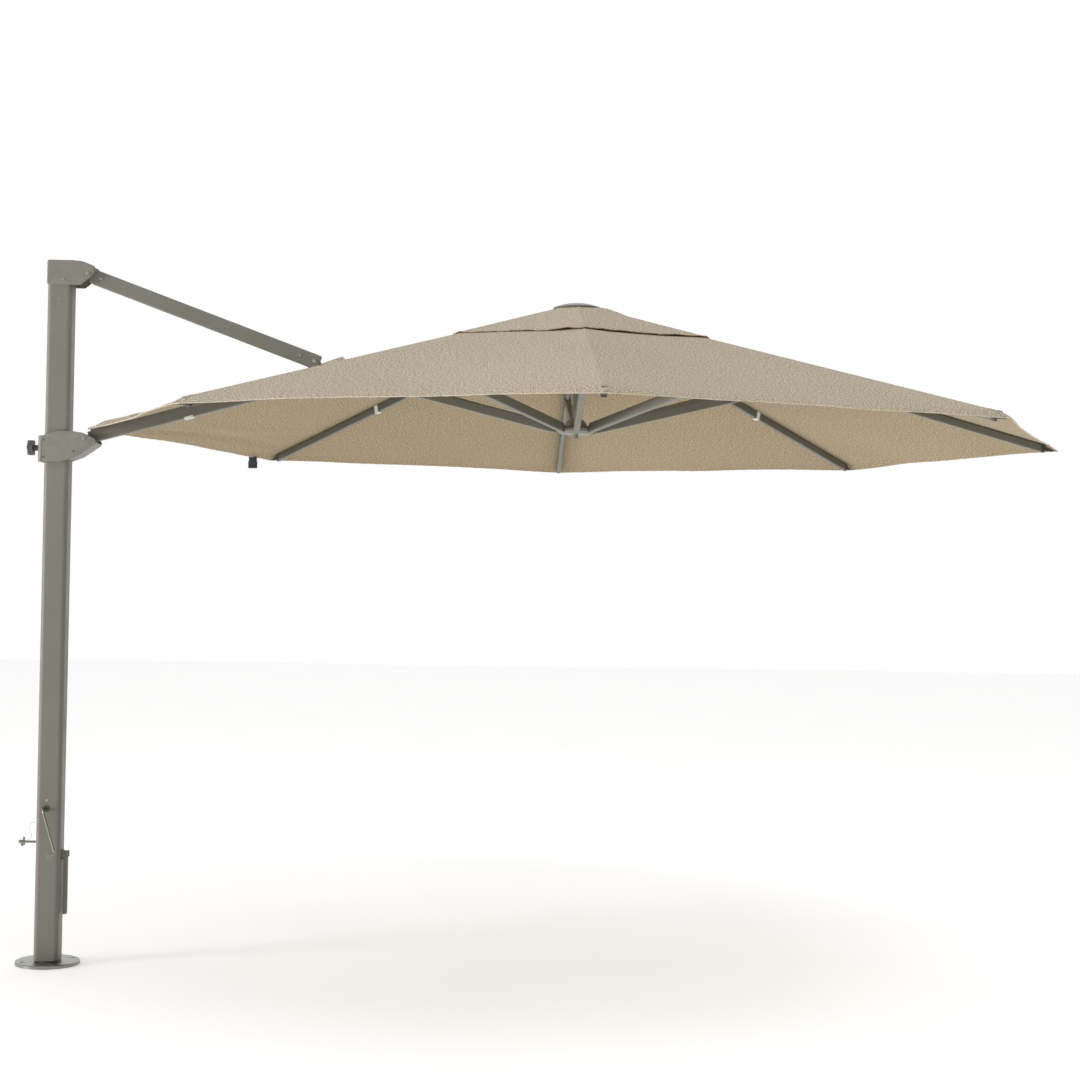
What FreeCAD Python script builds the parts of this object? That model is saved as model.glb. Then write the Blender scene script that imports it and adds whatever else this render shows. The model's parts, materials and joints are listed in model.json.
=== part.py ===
import FreeCAD, Part
import math
import os
import re

import Sketcher

Vector = FreeCAD.Vector
Rotation = FreeCAD.Rotation
Placement = FreeCAD.Placement

# ---------------------------------------------------------------------------
# Driving dimensions, in millimetres and degrees.
# The origin is the centre of the base plate's underside. +X runs along the
# cantilever from the mast to the canopy, +Z is up.
# ---------------------------------------------------------------------------
SIZES = {
    # base
    "base_radius": 129.0,
    "base_thick": 14.0,
    "bolt_circle": 210.0,
    "bolt_hole": 14.0,
    "bolt_angle": 30.0,
    "spigot_radius": 30.0,
    "spigot_wall": 3.0,
    "spigot_top": 540.0,
    "groove_level": 491.0,
    "washer_thick": 4.0,
    # mast
    "mast_depth": 100.0,
    "mast_width": 92.0,
    "mast_wall": 3.0,
    "mast_corner": 18.0,
    "mast_top": 2800.0,
    "slot_width": 14.0,
    "slot_low": 700.0,
    "slot_high": 2200.0,
    "running_gap": 0.05,
    "part_gap": 0.3,
    # top cap and strut
    "pivot_reach": 112.0,
    "strut_pivot_level": 2804.0,
    "link_length": 983.0,
    "link_angle": 69.94,
    "cap_half_width": 50.0,
    "cavity_half_width": 43.0,
    "strut_height": 60.0,
    "strut_width": 40.0,
    "strut_wall": 2.5,
    "tongue_width": 20.0,
    "pin_radius": 6.0,
    # arm
    "arm_height": 50.0,
    "arm_width": 38.0,
    "arm_wall": 2.5,
    "arm_slope": 15.43,
    "arm_rise": 7.0,
    # carriage
    "carriage_half_width": 62.0,
    "carriage_bottom": 2034.0,
    # canopy frame
    "hub_reach": 2112.0,
    "pivot_circle": 64.0,
    "hub_pivot_level": 2640.0,
    "hub_pin_radius": 3.0,
    "lug_width": 14.0,
    "rib_height": 32.0,
    "rib_width": 20.0,
    "rib_wall": 1.6,
    "rib_slope": 15.43,
    "rib_lift": 36.0,
    "rib_start": 22.0,
    "rib_end": 1940.0,
    "rib_tongue": 42.0,
    "brace_point": 918.0,
    "brace_lift": 27.0,
    "stretcher_height": 38.0,
    "stretcher_width": 26.0,
    "ear_length": 112.0,
    "arm_ear_length": 172.0,
    "ear_thick": 4.0,
    # canopy
    "canopy_radius": 2000.0,
    "canopy_apex": 2714.0,
    "canopy_hem": 2162.0,
    "canopy_arm_hem": 2173.0,
    "canopy_opening": 480.0,
    "hem_sag": 24.0,
    "fabric_thick": 2.0,
    "vent_radius": 675.0,
    "vent_edge_level": 2534.0,
    "vent_crown_radius": 105.0,
    "vent_crown_level": 2693.0,
    # winch
    "crank_reach": -10.0,
    "crank_level": 631.0,
    "drum_reach": -4.0,
    "gear_module": 1.25,
    "pinion_teeth": 18.0,
    "drum_teeth": 40.0,
    "centre_slack": 0.15,
    "rope_radius": 1.5,
    "sheave_radius": 20.0,
    "sheave_level": 2700.0,
    "crank_rod_radius": 5.0,
    "crank_throw": 178.0,
    "crank_tilt": 16.6,
    "crank_plane": 100.0,
    "crank_bend": 12.0,
    "grip_end": 206.0,
    # lever, knob, lock pin
    "lever_reach": 65.0,
    "lever_level": 444.0,
    "lever_length": 243.0,
    "lever_width": 17.0,
    "knob_level": 2093.0,
    "knob_radius": 33.0,
    "lock_pin_radius": 5.0,
    "wire_radius": 0.8,
}

RIB_AZIMUTHS = [0, 45, 90, 135, 225, 270, 315]
ARM_AZIMUTH = 180

doc = FreeCAD.newDocument("cantilever_parasol")
sheet = doc.addObject("Spreadsheet::Sheet", "Sizes")
for row, (alias, value) in enumerate(SIZES.items(), start=1):
    sheet.set("A%d" % row, alias)
    sheet.set("B%d" % row, str(value))
    sheet.setAlias("B%d" % row, alias)
doc.recompute()

nodes = []


# ---------------------------------------------------------------------------
# Helpers
# ---------------------------------------------------------------------------
def mm(alias):
    """The value that the sheet holds under this alias."""
    return float(sheet.get(alias))


def mm_of(text):
    """The value of a formula of aliases."""
    words = {alias: mm(alias) for alias in SIZES}
    total = 1.0
    for factor in str(text).split("*"):
        total *= words.get(factor.strip()) or float(factor)
    return total


def formula(text):
    """An expression in which every alias is read from the sheet."""
    def prefix(match):
        word = match.group(0)
        return "Sizes." + word if word in SIZES else word
    return re.sub(r"[a-z_]+", prefix, str(text))


def bind(obj, prop, text):
    obj.setExpression(prop, formula(text))


def move_to(obj, x, y, z):
    for letter, text in zip("xyz", (x, y, z)):
        bind(obj, "Placement.Base." + letter, text)


def node(obj, label):
    """Mark an object as a sub-part: its label names its file."""
    obj.Label = label
    nodes.append(obj)
    return obj


def box(name, length, width, height, x, y, z):
    obj = doc.addObject("Part::Box", name)
    bind(obj, "Length", length)
    bind(obj, "Width", width)
    bind(obj, "Height", height)
    move_to(obj, x, y, z)
    return obj


AXIS_TURN = {
    "x": Rotation(Vector(0, 1, 0), 90),
    "y": Rotation(Vector(1, 0, 0), -90),
    "z": Rotation(),
}


def rod(name, radius, length, x, y, z, axis="z"):
    """A cylinder that starts at x, y, z and runs along an axis."""
    obj = doc.addObject("Part::Cylinder", name)
    obj.Placement = Placement(Vector(), AXIS_TURN[axis])
    bind(obj, "Radius", radius)
    bind(obj, "Height", length)
    move_to(obj, x, y, z)
    return obj


def cut(name, base, *tools):
    result = base
    for index, tool in enumerate(tools):
        step = doc.addObject("Part::Cut", "%s_%d" % (name, index))
        step.Base = result
        step.Tool = tool
        result = step
    return result


def fuse(name, *parts):
    obj = doc.addObject("Part::MultiFuse", name)
    obj.Shapes = list(parts)
    obj.Refine = True
    return obj


def group(name, *parts):
    obj = doc.addObject("Part::Compound", name)
    obj.Links = list(parts)
    return obj


def shaped(name, shape, place=None):
    obj = doc.addObject("Part::Feature", name)
    obj.Shape = shape
    if place is not None:
        obj.Placement = place
    return obj


def new_body(name):
    return doc.addObject("PartDesign::Body", name)


def origin_plane(body, role):
    for feature in body.Origin.OriginFeatures:
        if feature.Role == role:
            return feature
    raise ValueError(role)


def new_sketch(body, role, name, offset=None):
    sketch = body.newObject("Sketcher::SketchObject", name)
    sketch.AttachmentSupport = (origin_plane(body, role), [""])
    sketch.MapMode = "FlatFace"
    if offset is not None:
        bind(sketch, "AttachmentOffset.Base.z", offset)
    return sketch


def rectangle(body, role, name, width, height, offset=None):
    """A rectangle centred on the sketch's origin, with its two sizes bound."""
    sketch = new_sketch(body, role, name, offset)
    corners = [Vector(-1, -1, 0), Vector(1, -1, 0), Vector(1, 1, 0), Vector(-1, 1, 0)]
    for index in range(4):
        sketch.addGeometry(Part.LineSegment(corners[index], corners[(index + 1) % 4]), False)
    for index in range(4):
        sketch.addConstraint(Sketcher.Constraint("Coincident", index, 2, (index + 1) % 4, 1))
    for index in (0, 2):
        sketch.addConstraint(Sketcher.Constraint("Horizontal", index))
    for index in (1, 3):
        sketch.addConstraint(Sketcher.Constraint("Vertical", index))
    sketch.addConstraint(Sketcher.Constraint("Symmetric", 0, 1, 2, 1, -1, 1))
    wide = sketch.addConstraint(Sketcher.Constraint("DistanceX", 0, 1, 0, 2, 2.0))
    high = sketch.addConstraint(Sketcher.Constraint("DistanceY", 1, 1, 1, 2, 2.0))
    bind(sketch, "Constraints[%d]" % wide, width)
    bind(sketch, "Constraints[%d]" % high, height)
    return sketch


def circle(body, role, name, radius, x="0", y="0", offset=None):
    sketch = new_sketch(body, role, name, offset)
    sketch.addGeometry(Part.Circle(Vector(1, 1, 0), Vector(0, 0, 1), 1.0), False)
    size = sketch.addConstraint(Sketcher.Constraint("Radius", 0, 1.0))
    right = sketch.addConstraint(Sketcher.Constraint("DistanceX", -1, 1, 0, 3, 1.0))
    up = sketch.addConstraint(Sketcher.Constraint("DistanceY", -1, 1, 0, 3, 1.0))
    bind(sketch, "Constraints[%d]" % size, radius)
    bind(sketch, "Constraints[%d]" % right, x)
    bind(sketch, "Constraints[%d]" % up, y)
    return sketch


def outline(body, role, name, start, path, offset=None):
    """A closed outline: each step is (x, y), or (via, end) for an arc."""
    sketch = new_sketch(body, role, name, offset)
    at = Vector(start[0], start[1], 0)
    first = at
    for step in path + [start]:
        if isinstance(step[0], tuple):
            via = Vector(step[0][0], step[0][1], 0)
            end = Vector(step[1][0], step[1][1], 0)
            sketch.addGeometry(Part.Arc(at, via, end), False)
        else:
            end = Vector(step[0], step[1], 0)
            if end.distanceToPoint(at) > 1e-6:
                sketch.addGeometry(Part.LineSegment(at, end), False)
        at = end
    assert at.distanceToPoint(first) < 1e-6
    return sketch


def pad(body, sketch, length, symmetric=False, name="Pad"):
    feature = body.newObject("PartDesign::Pad", sketch.Name + name)
    feature.Profile = sketch
    bind(feature, "Length", length)
    if symmetric:
        feature.SideType = "Symmetric"
    return feature


def pocket_all(body, sketch, reversed_way=False):
    """A pocket through everything on both sides of its sketch."""
    feature = body.newObject("PartDesign::Pocket", sketch.Name + "Cut")
    feature.Profile = sketch
    feature.Type = "ThroughAll"
    feature.SideType = "Symmetric"
    feature.Reversed = reversed_way
    return feature


def edges_where(shape, test):
    return ["Edge%d" % (i + 1) for i, edge in enumerate(shape.Edges) if test(edge)]


def runs_along(edge, direction):
    if edge.Curve.TypeId != "Part::GeomLine":
        return False
    return abs(abs(edge.tangentAt(edge.FirstParameter).dot(direction)) - 1) < 1e-6


def fillet(body, base, edges, radius):
    feature = body.newObject("PartDesign::Fillet", base.Name + "Round")
    feature.Base = (base, edges)
    bind(feature, "Radius", radius)
    return feature


def chamfer(body, base, edges, length):
    feature = body.newObject("PartDesign::Chamfer", base.Name + "Bevel")
    feature.Base = (base, edges)
    bind(feature, "Size", length)
    return feature


def bar(name, role, length, width, height, corner, start="0"):
    """A rounded rectangular bar that runs along the normal of its sketch."""
    body = new_body(name)
    solid = pad(body, rectangle(body, role, name + "_section", width, height, start), length)
    doc.recompute()
    direction = Vector(0, 0, 1) if role == "XY_Plane" else Vector(1, 0, 0)
    fillet(body, solid, edges_where(solid.Shape, lambda e: runs_along(e, direction)), corner)
    return body


def tube(name, length, width, height, wall, corner, start="0", lift="0"):
    """A rounded box section along the +X axis."""
    outer = bar(name + "_outer", "YZ_Plane", length, width, height, corner, start)
    inner = bar(name + "_inner", "YZ_Plane", "%s + 2" % length, "%s - 2 * %s" % (width, wall),
                "%s - 2 * %s" % (height, wall), "%s - %s" % (corner, wall), "%s - 1" % start)
    move_to(outer, 0, 0, lift)
    move_to(inner, 0, 0, lift)
    return cut(name, outer, inner)


def plug_bar(name, length, width, height, wall, corner, start="0", lift="0"):
    """A rounded bar that fills a box section, with a small gap all round."""
    body = bar(name, "YZ_Plane", length, "%s - 2 * %s - 2 * part_gap" % (width, wall),
               "%s - 2 * %s - 2 * part_gap" % (height, wall), corner, start)
    move_to(body, 0, 0, lift)
    return body


def cast_block(name, points, width, corner, rim):
    """A flat casting across the XZ plane, rounded in profile and at its rims."""
    body = new_body(name)
    solid = pad(body, outline(body, "XZ_Plane", name + "_side", points[0], points[1:]),
                width, symmetric=True)
    doc.recompute()
    cross = edges_where(solid.Shape, lambda e: runs_along(e, Vector(0, 1, 0)))
    rounded = fillet(body, solid, cross, corner)
    doc.recompute()
    half = mm_of(width) / 2
    rims = edges_where(rounded.Shape, lambda e: e.BoundBox.YLength < 1e-6
                       and abs(abs(e.BoundBox.Center.y) - half) < 1e-3)
    fillet(body, rounded, rims, rim)
    return body


def sloped(x, z, slope):
    """A frame at x, z in the XZ plane whose +X axis rises by slope degrees."""
    return Placement(Vector(x, 0, z), Rotation(Vector(0, 1, 0), -slope))


def around_hub(azimuth, radius, level, slope):
    """The same, in the vertical plane at an azimuth about the hub's axis."""
    turn = Placement(Vector(mm("hub_reach"), 0, 0), Rotation(Vector(0, 0, 1), azimuth))
    return turn.multiply(sloped(radius, level, slope))


def polygon_prism(points, depth):
    """A flat polygon, given by its points, swept along a vector."""
    wire = Part.makePolygon(points + [points[0]])
    return Part.Face(wire).extrude(depth)


# ---------------------------------------------------------------------------
# Points that the linkage works out from its driving dimensions
# ---------------------------------------------------------------------------
link_angle = math.radians(mm("link_angle"))
strut_slope = mm("link_angle") - 90.0
elbow_x = mm("pivot_reach") + mm("link_length") * math.sin(link_angle)
elbow_z = mm("strut_pivot_level") - mm("link_length") * math.cos(link_angle)
heel_z = mm("strut_pivot_level") - 2 * mm("link_length") * math.cos(link_angle)

brace_length = math.hypot(mm("brace_point"), mm("brace_lift"))
brace_slope = mm("rib_slope") - math.degrees(math.atan2(mm("brace_lift"), mm("brace_point")))
lower_pivot_level = mm("hub_pivot_level") - 2 * brace_length * math.sin(math.radians(brace_slope))
nose_x = mm("hub_reach") - mm("pivot_circle")


def in_arm_frame(x, z):
    """Along and across the arm, from the heel pivot."""
    slope = math.radians(mm("arm_slope"))
    dx = x - mm("pivot_reach")
    dz = z - heel_z
    return (dx * math.cos(slope) + dz * math.sin(slope),
            dz * math.cos(slope) - dx * math.sin(slope))


# The arm's centre line passes a little above the heel pivot.
arm_line_lift = mm("arm_rise") * math.cos(math.radians(mm("arm_slope")))
elbow_in_arm = in_arm_frame(elbow_x, elbow_z)
nose_in_arm = in_arm_frame(nose_x, mm("hub_pivot_level"))
arm_brace_x = nose_x - brace_length * math.cos(math.radians(brace_slope))
arm_brace_z = mm("hub_pivot_level") - brace_length * math.sin(math.radians(brace_slope))
arm_brace_in_arm = in_arm_frame(arm_brace_x, arm_brace_z)
arm_frame = sloped(mm("pivot_reach"), heel_z, mm("arm_slope"))
strut_frame = sloped(mm("pivot_reach"), mm("strut_pivot_level"), strut_slope)


# ---------------------------------------------------------------------------
# Base: plate, spigot and thrust washer
# ---------------------------------------------------------------------------
def make_base_plate():
    body = new_body("plate_body")
    plate = pad(body, circle(body, "XY_Plane", "plate_rim", "base_radius"), "base_thick")
    doc.recompute()
    top_edges = edges_where(plate.Shape, lambda e: abs(e.BoundBox.ZMin - mm("base_thick")) < 1e-6
                            and e.Curve.TypeId == "Part::GeomCircle")
    chamfer(body, plate, top_edges, 3)
    hole = pocket_all(body, circle(body, "XY_Plane", "bolt_hole_rim", "bolt_hole / 2",
                                   "bolt_circle / 2 * cos(bolt_angle)",
                                   "bolt_circle / 2 * sin(bolt_angle)"))
    pattern = body.newObject("PartDesign::PolarPattern", "bolt_holes")
    pattern.Originals = [hole]
    pattern.Axis = (body.Origin.OriginFeatures[2], [""])
    pattern.Angle = 360
    pattern.Occurrences = 4
    body.Tip = pattern
    return node(body, "base_plate")


def make_spigot_tube():
    """A tube welded to the plate, with a groove that the lock pin runs in."""
    height = "spigot_top - base_thick"
    outer = rod("spigot_outer", "spigot_radius", height, 0, 0, "base_thick")
    inner = rod("spigot_inner", "spigot_radius - spigot_wall", height, 0, 0, "base_thick")
    groove = rod("groove_outer", "spigot_radius + 1", 14, 0, 0, "groove_level - 7")
    core = rod("groove_core", "spigot_radius - 1.6", 14, 0, 0, "groove_level - 7")
    ring = cut("groove_ring", groove, core)
    return node(cut("spigot", outer, inner, ring), "spigot_tube")


def make_thrust_washer():
    outer = rod("washer_outer", 48, "washer_thick", 0, 0, "base_thick")
    inner = rod("washer_inner", "spigot_radius + part_gap", "washer_thick", 0, 0, "base_thick")
    return node(cut("washer", outer, inner), "thrust_washer")


# ---------------------------------------------------------------------------
# Mast
# ---------------------------------------------------------------------------
def make_mast_tube():
    """A rounded box section with a cord slot at the back and three bores."""
    foot = "base_thick + washer_thick"
    outer = bar("mast_outer", "XY_Plane", "mast_top - base_thick - washer_thick",
                "mast_depth", "mast_width", "mast_corner", foot)
    inner = bar("mast_inner", "XY_Plane", "mast_top", "mast_depth - 2 * mast_wall",
                "mast_width - 2 * mast_wall", "mast_corner - mast_wall")
    body = cut("mast_section", outer, inner)
    slot = box("slot_block", 30, "slot_width", "slot_high - slot_low",
               "-mast_depth / 2 - 15", "-slot_width / 2", "slot_low")
    crank_bore = rod("crank_bore", 11, 40, "crank_reach", "-mast_width / 2 - 20",
                     "crank_level", "y")
    pin_bore = rod("lock_bore", 11, 40, "-mast_depth / 2 - 20", 0, "groove_level", "x")
    sheave_bore = rod("sheave_bore", "4 + running_gap", 120, "drum_reach", -60,
                      "sheave_level", "y")
    return node(cut("mast_tube_cut", body, slot, crank_bore, pin_bore, sheave_bore),
                "mast_tube")


def bush_ring(name, low, height, collar=0):
    """A plastic liner between the spigot and the mast's inside faces."""
    gap = "2 * part_gap"
    block = box(name + "_block", "mast_depth - 2 * mast_wall - " + gap,
                "mast_width - 2 * mast_wall - " + gap, height,
                "-mast_depth / 2 + mast_wall + part_gap",
                "-mast_width / 2 + mast_wall + part_gap", low)
    rounded = doc.addObject("Part::Fillet", name + "_round")
    rounded.Base = block
    doc.recompute()
    upright = [i + 1 for i, e in enumerate(block.Shape.Edges)
               if runs_along(e, Vector(0, 0, 1))]
    radius = mm("mast_corner") - mm("mast_wall")
    rounded.Edges = [(index, radius, radius) for index in upright]
    bore = rod(name + "_bore", "spigot_radius + running_gap", height, 0, 0, low)
    return cut(name, rounded, bore)


def make_mast_bushes():
    lower = bush_ring("lower_bush", "base_thick + washer_thick + 2", 45)
    upper = bush_ring("upper_bush", "spigot_top - 36", 28)
    return node(group("bushes", lower, upper), "mast_bushes")


def make_top_cap():
    """A cast cap over the mast that reaches forward as a fork for the strut."""
    half = mm("mast_depth") / 2
    reach = mm("pivot_reach")
    level = mm("strut_pivot_level")
    low = level - 48
    high = level + 54
    body = cast_block("cap_body", [
        (-half - 2, low), (half + 36, low), (reach + 22, level - 8), (reach + 30, level + 8),
        (reach + 30, level + 30), (reach - 20, high - 4), (reach - 62, high),
        (-half - 2, high)], "2 * cap_half_width", 9, 6)
    cavity = new_body("cap_cavity")
    hollow = outline(cavity, "XZ_Plane", "cavity_side", (half + 4, low - 20), [
        (reach + 60, low - 20),
        (reach + 60, level + 18),
        (reach + 30, level + 30),
        ((reach - 14, level + 44), (half + 4, level + 47)),
    ])
    pad(cavity, hollow, "2 * cavity_half_width", symmetric=True)
    socket = box("cap_socket", "mast_depth + 2 * part_gap", "mast_width + 2 * part_gap",
                 "mast_top - strut_pivot_level + 49 + part_gap",
                 "-mast_depth / 2 - part_gap", "-mast_width / 2 - part_gap",
                 "strut_pivot_level - 49")
    bore = rod("cap_bore", "pin_radius + running_gap", 120, "pivot_reach", -60,
               "strut_pivot_level", "y")
    return node(cut("cap", body, cavity, socket, bore), "top_cap")


def headed_pin(name, radius, length, head, x, z):
    """A pin along Y with a thin round head at each end."""
    shank = rod(name + "_shank", radius, length, x, "-(%s) / 2" % length, z, "y")
    front = rod(name + "_front", head, 3, x, "-(%s) / 2 - 3" % length, z, "y")
    back = rod(name + "_back", head, 3, x, "(%s) / 2" % length, z, "y")
    return fuse(name, shank, front, back)


def make_strut_pivot_pin():
    pin = headed_pin("upper_pin", "pin_radius", "2 * cap_half_width + 2 * part_gap", 9,
                     "pivot_reach", "strut_pivot_level")
    return node(pin, "strut_pivot_pin")


def make_mast_screws():
    """Round-headed screws in the cap and the mast wall, and the wire's eyelet."""
    cap_y = "cap_half_width"
    wall_y = "mast_width / 2"
    screws = []
    for side, name in ((-1, "front"), (1, "back")):
        start = "-%s - 2.5" % cap_y if side < 0 else cap_y
        screws.append(rod("cap_screw_" + name, 5, 2.5, 15, start,
                          "strut_pivot_level - 26", "y"))
    screws.append(rod("winch_screw_upper", 4, 2, "crank_reach + 3", "-%s - 2" % wall_y,
                      "crank_level + 34", "y"))
    screws.append(rod("wall_screw", 5, 3, "mast_depth / 2", 0, 217, "x"))
    eyelet = rod("wire_eyelet", 4, 3, "-mast_depth / 2 - 3", 0, 570, "x")
    eye_bore = rod("wire_eyelet_bore", 1.5, 3, "-mast_depth / 2 - 3", 0, 570, "x")
    screws.append(cut("eyelet", eyelet, eye_bore))
    return node(group("screws", *screws), "mast_screws")


def make_mast_grommets():
    """Flanged bushes where the crank and the lock pin pass the mast wall."""
    crank_flange = rod("crank_flange", 14, 3, "crank_reach", "-mast_width / 2 - 3",
                       "crank_level", "y")
    crank_neck = rod("crank_neck", 10.8, 4, "crank_reach", "-mast_width / 2",
                     "crank_level", "y")
    crank_hole = rod("crank_hole", "crank_rod_radius + running_gap", 8, "crank_reach",
                     "-mast_width / 2 - 3.5", "crank_level", "y")
    crank_bush = cut("crank_bush", fuse("crank_bush_solid", crank_flange, crank_neck),
                     crank_hole)
    lock_flange = rod("lock_flange", 14, 4, "-mast_depth / 2 - 4", 0, "groove_level", "x")
    lock_neck = rod("lock_neck", 10.8, 8, "-mast_depth / 2", 0, "groove_level", "x")
    lock_hole = rod("lock_hole", "lock_pin_radius + running_gap", 14,
                    "-mast_depth / 2 - 5", 0, "groove_level", "x")
    lock_bush = cut("lock_bush", fuse("lock_bush_solid", lock_flange, lock_neck), lock_hole)
    return node(group("grommets", crank_bush, lock_bush), "mast_grommets")


# ---------------------------------------------------------------------------
# Winch: crank, pinion, drum, endless hoist cord and head sheave
# ---------------------------------------------------------------------------
pinion_radius = mm("gear_module") * mm("pinion_teeth") / 2
drum_gear_radius = mm("gear_module") * mm("drum_teeth") / 2
gear_distance = pinion_radius + drum_gear_radius + mm("centre_slack")
drum_step = mm("drum_reach") - mm("crank_reach")
drum_level = mm("crank_level") - math.sqrt(gear_distance ** 2 - drum_step ** 2)
mesh_angle = math.atan2(drum_level - mm("crank_level"), drum_step)


def involute(angle):
    return math.tan(angle) - angle


def gear_shape(teeth, thickness, first_tooth):
    """A spur gear about Y at the origin, with one tooth centred at an angle."""
    module = mm("gear_module")
    pitch = module * teeth / 2
    pressure = math.radians(20)
    base = pitch * math.cos(pressure)
    root = pitch - 1.25 * module
    tip = pitch + 0.92 * module
    half = math.pi / (2 * teeth) - 0.04 / pitch
    flank = []
    steps = 6
    for index in range(steps):
        radius = max(base, root) + (tip - max(base, root)) * index / (steps - 1)
        turn = half + involute(pressure) - involute(math.acos(base / radius))
        flank.append((radius, turn))
    if root < base:
        flank.insert(0, (root, flank[0][1]))
    points = []
    for tooth in range(int(teeth)):
        centre = first_tooth + 2 * math.pi * tooth / teeth
        around = [(radius, centre - turn) for radius, turn in flank]
        around += [(radius, centre + turn) for radius, turn in reversed(flank)]
        points += [Vector(r * math.cos(a), 0, r * math.sin(a)) for r, a in around]
    return polygon_prism(points, Vector(0, thickness, 0))


def turn_y(x, y, z):
    return Placement(Vector(x, y, z), Rotation())


def make_drive_pinion():
    bore = mm("crank_rod_radius") + mm("running_gap")
    blank = gear_shape(mm("pinion_teeth"), 8, mesh_angle)
    blank = blank.cut(Part.makeCylinder(bore, 10, Vector(0, -1, 0), Vector(0, 1, 0)))
    gear = shaped("pinion", blank, turn_y(mm("crank_reach"), -30, mm("crank_level")))
    return node(gear, "drive_pinion")


def make_winch_drum():
    """A cord drum with two cheeks, one piece with its gear."""
    half_tooth = math.pi / mm("drum_teeth")
    gear = gear_shape(mm("drum_teeth"), 8, mesh_angle + math.pi + half_tooth)
    groove = mm("sheave_radius") - mm("rope_radius") - 0.2
    profile = [(0, 0), (13, 0), (13, 20), (groove + 6, 20), (groove + 6, 23), (groove, 28),
               (groove, 32), (groove + 6, 37), (groove + 6, 40), (0, 40)]
    points = [Vector(radius, along, 0) for radius, along in profile]
    wheel = Part.Face(Part.makePolygon(points + [points[0]]))
    wheel = wheel.revolve(Vector(), Vector(0, 1, 0), 360)
    wheel = wheel.fuse(gear)
    bore = Part.makeCylinder(4 + mm("running_gap"), 60, Vector(0, -10, 0), Vector(0, 1, 0))
    drum = shaped("drum", wheel.cut(bore), turn_y(mm("drum_reach"), -30, drum_level))
    return node(drum, "winch_drum")


def make_head_sheave():
    groove = mm("sheave_radius") - mm("rope_radius") - 0.2
    profile = [(0, -10), (groove + 6, -10), (groove + 6, -7), (groove, -2), (groove, 2),
               (groove + 6, 7), (groove + 6, 10), (0, 10)]
    points = [Vector(radius, along, 0) for radius, along in profile]
    wheel = Part.Face(Part.makePolygon(points + [points[0]]))
    wheel = wheel.revolve(Vector(), Vector(0, 1, 0), 360)
    bore = Part.makeCylinder(4 + mm("running_gap"), 60, Vector(0, -30, 0), Vector(0, 1, 0))
    return node(shaped("sheave", wheel.cut(bore),
                       turn_y(mm("drum_reach"), 0, mm("sheave_level"))), "head_sheave")


def make_hoist_cord():
    """An endless cord round the drum and the head sheave, inside the mast."""
    x = mm("drum_reach")
    radius = mm("sheave_radius")
    low = drum_level
    high = mm("sheave_level")
    left_low = Vector(x - radius, 0, low)
    left_high = Vector(x - radius, 0, high)
    right_low = Vector(x + radius, 0, low)
    right_high = Vector(x + radius, 0, high)
    path = Part.Wire([
        Part.LineSegment(left_low, left_high).toShape(),
        Part.Arc(left_high, Vector(x, 0, high + radius), right_high).toShape(),
        Part.LineSegment(right_high, right_low).toShape(),
        Part.Arc(right_low, Vector(x, 0, low - radius), left_low).toShape(),
    ])
    section = Part.Wire(Part.makeCircle(mm("rope_radius"), left_low, Vector(0, 0, 1)))
    return node(shaped("cord_loop", path.makePipeShell([section], True, False)),
                "hoist_cord")


def make_hoist_axles():
    drum_axle = shaped("drum_axle", Part.makeCylinder(4, 80, Vector(0, -40, 0),
                                                      Vector(0, 1, 0)),
                       turn_y(mm("drum_reach"), 0, drum_level))
    sheave_axle = rod("sheave_axle", 4, "mast_width", "drum_reach", "-mast_width / 2",
                      "sheave_level", "y")
    return node(group("axles", drum_axle, sheave_axle), "hoist_axles")


def make_winch_frame():
    """Two bearing plates and a web that carry the crank shaft and the drum."""
    front = box("winch_front", 62, 4, 110, -36, -41, "crank_level - 84")
    back = box("winch_back", 62, 4, 110, -36, 37, "crank_level - 84")
    web = box("winch_web", 4, 82, 110, 26, -41, "crank_level - 84")
    crank_hole = rod("winch_crank_hole", "crank_rod_radius + running_gap", 100,
                     "crank_reach", -50, "crank_level", "y")
    drum_hole = shaped("winch_drum_hole", Part.makeCylinder(4 + mm("running_gap"), 100,
                                                            Vector(0, -50, 0),
                                                            Vector(0, 1, 0)),
                       turn_y(mm("drum_reach"), 0, drum_level))
    return node(cut("winch", fuse("winch_solid", front, back, web), crank_hole, drum_hole),
                "winch_frame")


def bent_path(points, radius):
    """Straight runs between points, joined by arcs of one radius."""
    edges = []
    at = points[0]
    for index in range(1, len(points) - 1):
        corner = points[index]
        back = (points[index - 1] - corner).normalize()
        ahead = (points[index + 1] - corner).normalize()
        turn = math.pi - back.getAngle(ahead)
        limit = radius if not callable(radius) else radius(index, turn)
        reach = limit * math.tan(turn / 2)
        first = corner + back * reach
        last = corner + ahead * reach
        middle_way = (back + ahead).normalize()
        middle = corner + middle_way * (limit / math.cos(turn / 2) - limit)
        edges.append(Part.LineSegment(at, first).toShape())
        edges.append(Part.Arc(first, middle, last).toShape())
        at = last
    edges.append(Part.LineSegment(at, points[-1]).toShape())
    return Part.Wire(edges)


def round_tube(path, radius, start, direction):
    section = Part.Wire(Part.makeCircle(radius, start, direction))
    return path.makePipeShell([section], True, False)


tilt = math.radians(mm("crank_tilt"))
grip_x = mm("crank_reach") + mm("crank_throw") * math.sin(tilt)
grip_z = mm("crank_level") - mm("crank_throw") * math.cos(tilt)


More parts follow.
